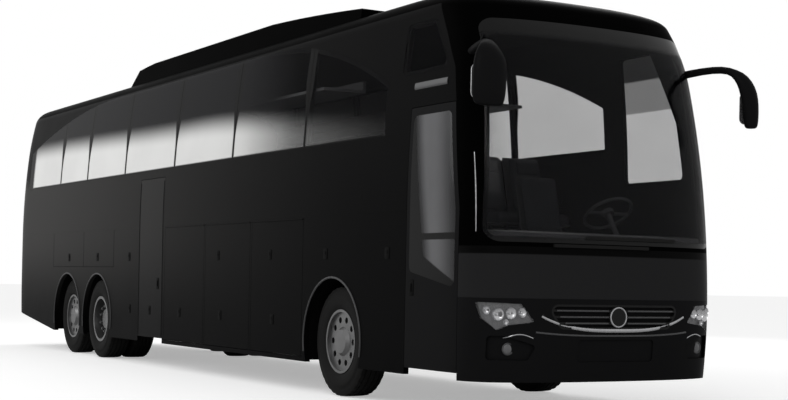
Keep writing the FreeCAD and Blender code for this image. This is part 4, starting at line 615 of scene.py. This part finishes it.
cover_glass = Finish("lamp_cover")
flow = cover_glass.noise(25.0)
cover_glass.wear(
    Base_Color=cover_glass.mix(flow, (0.18, 0.18, 0.185), (0.28, 0.28, 0.285)), Roughness=0.04 + flow * 0.03,
    Specular_IOR_Level=0.5, Alpha=0.16 + flow * 0.04)
housing = Finish("lamp_housing")
shade = housing.noise(18.0)
housing.wear(
    Base_Color=housing.mix(shade, (0.03, 0.03, 0.031), (0.16, 0.16, 0.165)), Metallic=0.4,
    Roughness=0.35 + shade * 0.1)
reflector = Finish("lamp_reflector")
flutes = reflector.noise(120.0, 1.0)
reflector.wear(
    Base_Color=reflector.mix(flutes, (0.40, 0.40, 0.41), (0.70, 0.70, 0.71)), Metallic=0.9,
    Roughness=0.16 + flutes * 0.08, Normal=reflector.bump(flutes, 0.0010))
lamp_skin = surface("headlamps")
BOWLS = ((0.895, 0.868, 0.040), (0.985, 0.862, 0.048), (1.080, 0.852, 0.052), (1.155, 0.885, 0.036),
         (1.020, 0.790, 0.026))
mesh = skin_copy("headlamps", lambda face: face.normal.y < -0.12, 0.0)
piece("headlamp_covers", mesh, cover_glass, sharp=60)
mesh = skin_copy("headlamps", lambda face: face.normal.y < -0.12, 0.030)
back = piece("headlamp_housings", mesh, housing, sharp=60)
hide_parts("headlamps")
mesh = bmesh.new()
for side in SIDES.values():
    for x, z, radius in BOWLS:
        spot, normal, face, gap = lamp_skin.ray_cast(Vector((side * x, NOSE - 1, z)), Vector((0, 1, 0)))
        facing = (normal + Vector((0, -1.5, 0))).normalized()
        turn = facing.to_track_quat("Z", "Y").to_matrix().to_4x4()
        rings = bmesh.ops.create_circle(mesh, segments=24, radius=radius,
                                        matrix=Matrix.Translation(spot - facing * 0.008) @ turn)["verts"]
        edges = list({edge for vertex in rings for edge in vertex.link_edges})
        for deeper, share in ((0.006, 0.92), (0.008, 0.72), (0.005, 0.42), (0.0015, 0.2)):
            grown = bmesh.ops.extrude_edge_only(mesh, edges=edges)["geom"]
            verts = [item for item in grown if isinstance(item, bmesh.types.BMVert)]
            edges = [item for item in grown if isinstance(item, bmesh.types.BMEdge)
                     and all(vertex in verts for vertex in item.verts)]
            centre = sum((vertex.co for vertex in verts), Vector()) / len(verts)
            reach = (verts[0].co - centre).length
            for vertex in verts:
                vertex.co = centre + (vertex.co - centre) * (radius * share / reach) - facing * deeper
        bmesh.ops.contextual_create(mesh, geom=edges)
        bmesh.ops.create_uvsphere(mesh, u_segments=12, v_segments=8, radius=radius * 0.22,
                                  matrix=Matrix.Translation(spot - facing * 0.020))
piece("headlamp_bowls", mesh, reflector)


# Grille: a black moulded mouth with a satin bar across each level, a bright bar that curves like a
# smile along its lower edge, and a plain round disc where a badge would be.
mouth_black = Finish("mouth_black")
grit = mouth_black.noise(150.0)
mouth_black.wear(
    Base_Color=mouth_black.mix(grit, (0.006, 0.006, 0.006), (0.012, 0.012, 0.012)),
    Roughness=0.5 + grit * 0.2, Specular_IOR_Level=0.08)
dress(mouth_black, "grille")
chrome = Finish("bright_trim")
polish = chrome.noise(35.0)
chrome.wear(
    Base_Color=chrome.mix(polish, (0.24, 0.24, 0.245), (0.40, 0.40, 0.41)), Metallic=0.9,
    Roughness=0.22 + polish * 0.1)
satin = Finish("satin_trim")
brushed = satin.noise(60.0)
satin.wear(
    Base_Color=satin.mix(brushed, (0.03, 0.03, 0.031), (0.06, 0.06, 0.062)), Metallic=0.5,
    Roughness=0.38 + brushed * 0.1)
nose_skin = surface("front_panel", "front_bumper", "grille", "headlamps", "front_dome", "windscreen")


def on_nose(x, z, proud=0.0):
    """The point of the coach's face at x and z, and the way it faces."""
    spot, normal, face, gap = nose_skin.ray_cast(Vector((x, NOSE - 1, z)), Vector((0, 1, 0)))
    if normal.y > 0:
        normal = -normal
    return spot + normal * proud, normal


mesh = bmesh.new()
for z, reach in ((0.786, 0.52), (0.8375, 0.57), (0.889, 0.60)):  # height and half length of a bar
    for side in SIDES.values():
        sweep(mesh, [on_nose(side * (0.10 + step * (reach - 0.10) / 9), z, 0.0005) for step in range(10)],
              0.007, 0.004)
piece("grille_slats", mesh, satin)
mesh = bmesh.new()
smile = []
for step in range(41):
    share = step / 20 - 1
    smile.append(on_nose(share * 0.735, 0.726 + 0.115 * abs(share) ** 3.2, 0.003))
sweep(mesh, smile, [0.016 - 0.006 * abs(step / 20 - 1) ** 2 for step in range(41)], 0.009, 12)
piece("grille_smile", mesh, chrome)
BADGE_HEIGHT = 0.8375
BADGE_RADIUS = 0.080
mesh = bmesh.new()
spot, normal = on_nose(0.0, BADGE_HEIGHT)
turn = Matrix.Translation(spot + Vector((0, -0.002, 0))) @ Matrix.Rotation(math.pi / 2, 4, "X")
bmesh.ops.create_cone(mesh, segments=48, cap_ends=True, radius1=0.082, radius2=0.076, depth=0.012,
                      matrix=turn)
piece("badge_disc", mesh, mouth_black)
mesh = bmesh.new()
ring = [(Vector((BADGE_RADIUS * math.cos(angle), spot.y - 0.006,
                 BADGE_HEIGHT + BADGE_RADIUS * math.sin(angle))), Vector((0, -1, 0)))
        for angle in (math.tau * step / 48 for step in range(48))]
sweep(mesh, ring, 0.007, 0.006, 8, True)
piece("badge_ring", mesh, chrome)


# Bumper ledge and fog lamps: a satin ledge under the grille, and on each side a fog lamp with a dark
# lens in a round bezel under a thin bright brow.
mesh = bmesh.new()
sweep(mesh, [on_nose(-0.78 + step * 0.039, 0.683 + 0.028 * abs(step / 20 - 1) ** 3, 0.002)
             for step in range(41)], 0.008, 0.005)
piece("bumper_ledge", mesh, satin)
mesh = bmesh.new()
for side in SIDES.values():
    sweep(mesh, [on_nose(side * (0.80 + step * 0.028), 0.662 + 0.030 * math.sin(math.pi * step / 8), 0.001)
                 for step in range(9)], 0.0045, 0.004, 6)
piece("fog_lamp_brows", mesh, chrome)
bezels, lenses = bmesh.new(), bmesh.new()
for side in SIDES.values():
    spot, normal = on_nose(side * 0.985, 0.572)
    facing = (normal + Vector((0, -1.5, 0))).normalized()
    turn = facing.to_track_quat("Z", "Y").to_matrix().to_4x4()
    ring = [(spot + turn @ Vector((0.047 * math.cos(angle), 0.047 * math.sin(angle), 0.002)), facing)
            for angle in (math.tau * step / 32 for step in range(32))]
    sweep(bezels, ring, 0.006, 0.006, 8, True)
    bmesh.ops.create_uvsphere(lenses, u_segments=32, v_segments=16, radius=1.0, matrix=(
        Matrix.Translation(spot) @ turn @ Matrix.Diagonal((0.043, 0.043, 0.010, 1))))
piece("fog_lamp_bezels", bezels, satin)
piece("fog_lamp_lenses", lenses, housing)


# Tail lamps: a red lens up each rear corner with four round lamps on it, three red and one amber, each
# in a satin ring.
tail_lens = Finish("tail_lens")
ribs = tail_lens.noise(60.0)
tail_lens.wear(
    Base_Color=tail_lens.mix(ribs, (0.16, 0.008, 0.008), (0.28, 0.016, 0.012)), Roughness=0.12 + ribs * 0.05)
dress(tail_lens, "tail_lamps")
amber = Finish("amber_lens")
prisms = amber.noise(90.0)
amber.wear(
    Base_Color=amber.mix(prisms, (0.55, 0.16, 0.01), (0.75, 0.26, 0.02)), Roughness=0.14 + prisms * 0.05)
tail_skin = surface("tail_lamps", "rear_bumper", "rear_panel", "engine_lid")


def on_tail(x, z, proud=0.0):
    """The point of the coach's tail at x and z, and the way it faces."""
    spot, normal, face, gap = tail_skin.ray_cast(Vector((x, NOSE + 15, z)), Vector((0, -1, 0)))
    if normal.y < 0:
        normal = -normal
    return spot + normal * proud, normal


LAMP_RING = 0.044
LAMP_DOME = 0.040
lamp_low, lamp_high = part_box("tail_lamps")
rings, reds, ambers = bmesh.new(), bmesh.new(), bmesh.new()
for side in SIDES.values():
    for step, dome in enumerate((reds, reds, ambers, reds)):
        z = lamp_low.z + (lamp_high.z - lamp_low.z) * (step + 0.5) / 4
        spot, normal = on_tail(side * (lamp_high.x - 0.105), z)
        turn = normal.to_track_quat("Z", "Y").to_matrix().to_4x4()
        circle = [(spot + turn @ Vector((LAMP_RING * math.cos(angle), LAMP_RING * math.sin(angle), 0.001)),
                   normal) for angle in (math.tau * index / 32 for index in range(32))]
        sweep(rings, circle, 0.005, 0.005, 8, True)
        bmesh.ops.create_uvsphere(dome, u_segments=28, v_segments=14, radius=1.0, matrix=(
            Matrix.Translation(spot) @ turn @ Matrix.Diagonal((LAMP_DOME, LAMP_DOME, 0.007, 1))))
piece("tail_lamp_rings", rings, satin)
piece("tail_lamp_reds", reds, tail_lens)
piece("tail_lamp_ambers", ambers, amber)


# Engine lid: pressed louvres across it in two banks, a pull handle near its top edge and a blank
# number plate on the bumper under it.
mesh = bmesh.new()
for bank in (-1, 1):
    for step in range(9):
        z = 1.18 + step * 0.052
        sweep(mesh, [on_tail(bank * (0.10 + index * 0.11), z, 0.002) for index in range(6)],
              0.012, 0.005, 8)
piece("lid_louvres", mesh, paint, "lid")
mesh = bmesh.new()
sweep(mesh, [on_tail(-0.14 + index * 0.04, 1.82, 0.004) for index in range(8)], 0.010, 0.004, 10)
for side in SIDES.values():
    spot, normal = on_tail(side * 0.13, 1.82, 0.001)
    plate(mesh, spot, normal, 0.018, 0.018, 0.006, 0.005)
piece("lid_handle", mesh, satin, "lid")
blank = Finish("blank_plate")
dulled = blank.noise(8.0)
blank.wear(
    Base_Color=blank.mix(dulled, (0.62, 0.62, 0.60), (0.70, 0.70, 0.68)), Roughness=0.35 + dulled * 0.1)
mesh = bmesh.new()
spot, normal = on_tail(0.0, 0.70, 0.005)
plate(mesh, spot, normal, 0.26, 0.056, 0.006, 0.010)
piece("rear_number_plate", mesh, blank)


# Door handles: a black grip on a rounded plate on each leaf, at hand height.
for leaf, body, place, z in (
        ("front_door", "front_leaf", 1.26, 1.05), ("mid_door", "mid_leaf", 7.56, 1.02)):
    leaf_skin = surface(leaf)
    spot, normal, face, gap = leaf_skin.ray_cast(Vector((-2, NOSE + place, z)), Vector((1, 0, 0)))
    outward = Vector((-1, 0, 0))
    mesh = bmesh.new()
    plate(mesh, spot + outward * 0.001, outward, 0.040, 0.070, 0.005, 0.015)
    sweep(mesh, [(spot + outward * 0.006 + Vector((0, 0, 0.009 * (index - 4))), outward)
                 for index in range(9)], 0.008, 0.005, 10)
    piece(leaf + "_handle", mesh, lock_black, body)


# Kerb-side trims: a bright bead down the windscreen pillar and a satin drip rail over the front door.
mesh = bmesh.new()
pillar_skin = surface("front_dome", "windscreen", "front_door", "side_upper_right")
bead = []
for step in range(13):
    z = 1.52 + step * 0.054
    spot, normal, face, gap = pillar_skin.ray_cast(
        Vector((-1.206 + step * 0.0012, NOSE - 1, z)), Vector((0, 1, 0)))
    bead.append((spot, -normal if normal.y > 0 else normal))
sweep(mesh, bead, [0.006 - 0.0004 * abs(step - 6) for step in range(13)], 0.003)
piece("pillar_bead", mesh, chrome)
mesh = bmesh.new()
rail = []
for step in range(9):
    spot, normal, face, gap = pillar_skin.ray_cast(
        Vector((-2, NOSE + 0.80 + step * 0.068, 2.790)), Vector((1, 0, 0)))
    rail.append((spot, -normal if normal.x > 0 else normal))
sweep(mesh, rail, 0.030, 0.007, 12)
piece("door_drip_rail", mesh, satin, sharp=70)


# Middle door seals: soft black strips down both upright edges of the leaf, where it meets the wall.
mesh = bmesh.new()
leaf_skin = surface("mid_door")
for place in (7.418, 8.242):
    strip = []
    for step in range(20):
        spot, normal, face, gap = leaf_skin.ray_cast(
            Vector((-2, NOSE + place, 0.38 + step * 0.099)), Vector((1, 0, 0)))
        strip.append((spot, Vector((-1, 0, 0))))
    sweep(mesh, strip, 0.013, 0.003)
piece("mid_door_seals", mesh, lock_black, "mid_leaf")


# Roof hatches: two moulded escape hatches on the centre line, bedded on rubber.
roof_skin = surface("roof", "roof_fairing")
for number, place in enumerate((10.6, 12.1)):
    spot, normal, face, gap = roof_skin.ray_cast(Vector((0, NOSE + place, 6)), Vector((0, 0, -1)))
    mesh = bmesh.new()
    plate(mesh, spot + Vector((0, 0, 0.004)), Vector((0, 0, 1)), 0.34, 0.30, 0.030, 0.05)
    piece(f"roof_hatch_seal_{number}", mesh, lip_rubber)
    mesh = bmesh.new()
    plate(mesh, spot + Vector((0, 0, 0.022)), Vector((0, 0, 1)), 0.30, 0.26, 0.024, 0.06)
    piece(f"roof_hatch_{number}", mesh, shaded_roof_paint)


# Mirrors: horn-shaped arms in gloss black plastic that spring from the windscreen pillars and swell
# into drooping heads, each with a glass that looks back along the side. The kerb side head is broad.
HORNS = {
    "left": ((1.085, 0.735, 3.000, 0.030, 0.040), (1.150, 0.500, 3.030, 0.026, 0.034),
             (1.195, 0.250, 3.040, 0.028, 0.032), (1.230, 0.080, 3.020, 0.036, 0.034),
             (1.280, 0.005, 2.965, 0.056, 0.042), (1.335, -0.018, 2.890, 0.078, 0.052),
             (1.378, -0.020, 2.800, 0.090, 0.060), (1.396, -0.018, 2.700, 0.082, 0.064),
             (1.405, -0.016, 2.600, 0.073, 0.064), (1.410, -0.014, 2.530, 0.064, 0.056),
             (1.410, -0.014, 2.508, 0.046, 0.040)),
    "right": ((1.085, 0.735, 3.000, 0.030, 0.040), (1.150, 0.500, 3.030, 0.030, 0.034),
              (1.225, 0.250, 3.035, 0.038, 0.034), (1.280, 0.080, 3.010, 0.060, 0.036),
              (1.310, 0.000, 2.955, 0.105, 0.044), (1.318, -0.018, 2.885, 0.145, 0.056),
              (1.320, -0.020, 2.790, 0.157, 0.062), (1.322, -0.018, 2.690, 0.157, 0.064),
              (1.324, -0.016, 2.590, 0.154, 0.062), (1.326, -0.014, 2.520, 0.142, 0.052),
              (1.326, -0.014, 2.496, 0.110, 0.036))}
for side_name, side in SIDES.items():
    spine = HORNS[side_name]
    mesh = bmesh.new()
    sweep(mesh, [(Vector((side * x, NOSE + place, z)), Vector((0, -1, 0) if index > 3 else (0, 0, 1)))
                 for index, (x, place, z, wide, deep) in enumerate(spine)],
          [row[3] for row in spine], [row[4] for row in spine], 20)
    made = piece(f"mirror_{side_name}", mesh, lit_nose_paint, sharp=70)
    smooth = made.modifiers.new("smooth", "SUBSURF")
    smooth.levels = smooth.render_levels = 1
    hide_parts("mirror_arms")
    mesh = bmesh.new()
    x, place, z, wide, deep = spine[7]
    plate(mesh, Vector((side * x, NOSE + 0.050, 2.690)), Vector((0, 1, 0)),
          wide * 0.82, 0.140, 0.012, 0.05)
    piece(f"mirror_glass_{side_name}", mesh, reflector)


# Wheel housings: black moulded liners that close each arch over its tyre, so that no light comes
# through from under the floor.
liner = Finish("arch_liner")
felt = liner.noise(70.0)
liner.wear(Base_Color=liner.mix(felt, (0.0015, 0.0015, 0.0015), (0.004, 0.004, 0.004)),
           Roughness=0.85 + felt * 0.1, Specular_IOR_Level=0.0, Normal=liner.bump(felt, 0.001))
HOUSING_RADIUS = 0.600
HOUSING_OUT = 1.262
HOUSING_DEPTH = {"front": 0.36, "drive": 0.52, "tag": 0.36}
FOOT_ANGLE = 0.11 * math.pi  # how far each foot reaches below the hub's level
for side_name, side in SIDES.items():
    for axle, place in AXLES.items():
        mesh = bmesh.new()
        hub = Vector((side * HOUSING_OUT, NOSE + place, HUB_HEIGHT))
        foot = mesh.verts.new(
            hub + Matrix.Rotation(-FOOT_ANGLE, 3, "X") @ Vector((0, HOUSING_RADIUS, 0)))
        bmesh.ops.spin(mesh, geom=[foot], cent=hub, axis=(1, 0, 0), angle=math.pi + 2 * FOOT_ANGLE,
                       steps=24)
        grown = bmesh.ops.extrude_edge_only(mesh, edges=mesh.edges[:])["geom"]
        bmesh.ops.translate(mesh, verts=[item for item in grown if isinstance(item, bmesh.types.BMVert)],
                            vec=(-side * HOUSING_DEPTH[axle], 0, 0))
        bmesh.ops.solidify(mesh, geom=mesh.faces[:], thickness=0.003)
        piece(f"wheel_housing_{axle}_{side_name}", mesh, liner)


# Seats: foam cushions and backs in woven cloth over moulded shells, in pairs on steel legs, and the
# driver's own seat. Each cushion is blown up by a cloth simulation from a slightly smaller form.
cloth = Finish("seat_cloth")
weave = cloth.noise(900.0, 1.0)
fade = cloth.noise(2.5)
cloth.wear(
    Base_Color=cloth.mix(fade, (0.030, 0.031, 0.036), (0.055, 0.056, 0.062)), Roughness=0.82 + weave * 0.12,
    Specular_IOR_Level=0.1, Normal=cloth.bump(weave, 0.0006))
shell = moulded("seat_shell", (0.022, 0.022, 0.024), (0.035, 0.035, 0.038), 220, 0.5)
dress(shell, "seats_left", "seats_right", "driver_seat")
SWELL = 0.010  # how far a point of a cushion may move
SEAT_ROWS = 12
SEAT_PITCH = 0.86
FIRST_SEAT = 2.30
STAIRS = (6.54, 8.26)  # no kerb side seat starts between these stations
SEAT_PLACES = (0.4825, 0.9475)
DRIVER = 0.640
LEAN = -math.atan2(0.16, 0.62)  # of the backs


def stuffed(name, half, ease):
    """A cushion's mesh about its own middle: an eased box, remeshed, blown up and smoothed."""
    mesh = bmesh.new()
    bmesh.ops.create_cube(mesh, size=2, matrix=Matrix.Diagonal((*half, 1)))
    bmesh.ops.bevel(mesh, geom=mesh.edges[:], offset=ease, segments=3, profile=0.5, affect="EDGES",
                    material=-1)
    data = bpy.data.meshes.new(name)
    mesh.to_mesh(data)
    mesh.free()
    form = bpy.data.objects.new(name, data)
    scene.collection.objects.link(form)
    remesh = form.modifiers.new("remesh", "REMESH")
    remesh.mode = "VOXEL"
    remesh.voxel_size = 0.030
    graph = bpy.context.evaluated_depsgraph_get()
    data = bpy.data.meshes.new_from_object(form.evaluated_get(graph))
    form.modifiers.clear()
    form.data = data
    rest = [vertex.co.copy() for vertex in data.vertices]
    blown = form.modifiers.new("cloth", "CLOTH")
    blown.settings.use_pressure = True
    blown.settings.uniform_pressure_force = 4
    blown.settings.effector_weights.gravity = 0
    for step in range(1, 21):
        scene.frame_set(step)
    graph = bpy.context.evaluated_depsgraph_get()
    moved = bpy.data.meshes.new_from_object(form.evaluated_get(graph))
    form.modifiers.clear()
    for vertex, start, end in zip(data.vertices, rest, moved.vertices):
        push = end.co - start
        if push.length > SWELL:
            push *= SWELL / push.length
        vertex.co = start + push
    finer = form.modifiers.new("finer", "SUBSURF")
    finer.levels = finer.render_levels = 1
    graph = bpy.context.evaluated_depsgraph_get()
    data = bpy.data.meshes.new_from_object(form.evaluated_get(graph))
    bpy.data.objects.remove(form)
    return data


def add_copy(mesh, data, place):
    """Add a copy of a mesh at a place."""
    count = len(mesh.verts)
    mesh.from_mesh(data)
    bmesh.ops.transform(mesh, matrix=place, verts=mesh.verts[count:])


def add_slab(mesh, half, place, ease):
    """Add a slab with eased edges at a place."""
    made = bmesh.ops.create_cube(mesh, size=2, matrix=place @ Matrix.Diagonal((*half, 1)))["verts"]
    edges = {edge for vertex in made for edge in vertex.link_edges}
    bmesh.ops.bevel(mesh, geom=list(edges), offset=ease, segments=2, profile=0.5, affect="EDGES",
                    material=-1)


def upright(x, place, z):
    return Matrix.Translation((x, NOSE + place, z))


def leaned(x, place, z):
    return upright(x, place, z) @ Matrix.Rotation(LEAN, 4, "X")


cushion = stuffed("cushion_form", (0.195, 0.210, 0.046), 0.028)
rest = stuffed("back_form", (0.195, 0.030, 0.290), 0.022)
wing = stuffed("headrest_form", (0.135, 0.026, 0.085), 0.020)
for side_name, side in SIDES.items():
    cushions, backs, shells = bmesh.new(), bmesh.new(), bmesh.new()
    for row in range(SEAT_ROWS):
        start = FIRST_SEAT + SEAT_PITCH * row
        if side < 0 and STAIRS[0] < start < STAIRS[1]:
            continue
        for x in SEAT_PLACES:
            add_copy(cushions, cushion, upright(side * x, start + 0.235, 1.754))
            add_copy(backs, rest, leaned(side * x, start + 0.560, 2.112))
            add_copy(backs, wing, leaned(side * x, start + 0.566, 2.290))
            add_slab(shells, (0.205, 0.014, 0.335), leaned(side * x, start + 0.628, 2.070), 0.008)
        add_slab(shells, (0.425, 0.215, 0.012), upright(side * 0.715, start + 0.240, 1.690), 0.006)
        for x in (0.42, 1.06):
            for leg in (0.10, 0.40):
                add_slab(shells, (0.016, 0.022, 0.148), upright(side * x, start + leg, 1.532), 0.006)
            add_slab(shells, (0.024, 0.190, 0.008), upright(side * x, start + 0.25, 1.391), 0.004)
    made = piece(f"seat_cushions_{side_name}", cushions, cloth, sharp=180)
    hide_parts(f"seats_{side_name}")
    made = piece(f"seat_backs_{side_name}", backs, cloth, sharp=180)
    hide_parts(f"seats_{side_name}")
    made = piece(f"seat_shells_{side_name}", shells, shell)
    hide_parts(f"seats_{side_name}")
mesh = bmesh.new()
add_copy(mesh, cushion, upright(DRIVER, 1.785, 1.512) @ Matrix.Diagonal((1.15, 1, 1, 1)))
add_copy(mesh, rest, leaned(DRIVER, 2.125, 1.868) @ Matrix.Diagonal((1.12, 1, 1, 1)))
made = piece("driver_seat_pads", mesh, cloth, sharp=180)
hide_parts("driver_seat")
mesh = bmesh.new()
add_slab(mesh, (0.240, 0.215, 0.014), upright(DRIVER, 1.790, 1.450), 0.006)
add_slab(mesh, (0.230, 0.014, 0.330), leaned(DRIVER, 2.190, 1.830), 0.008)
add_slab(mesh, (0.150, 0.160, 0.012), upright(DRIVER, 1.790, 1.153), 0.006)
for fold in range(5):
    add_slab(mesh, (0.110, 0.120, 0.022), upright(DRIVER, 1.790, 1.192 + fold * 0.055), 0.015)
made = piece("driver_seat_shell", mesh, shell)
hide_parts("driver_seat")
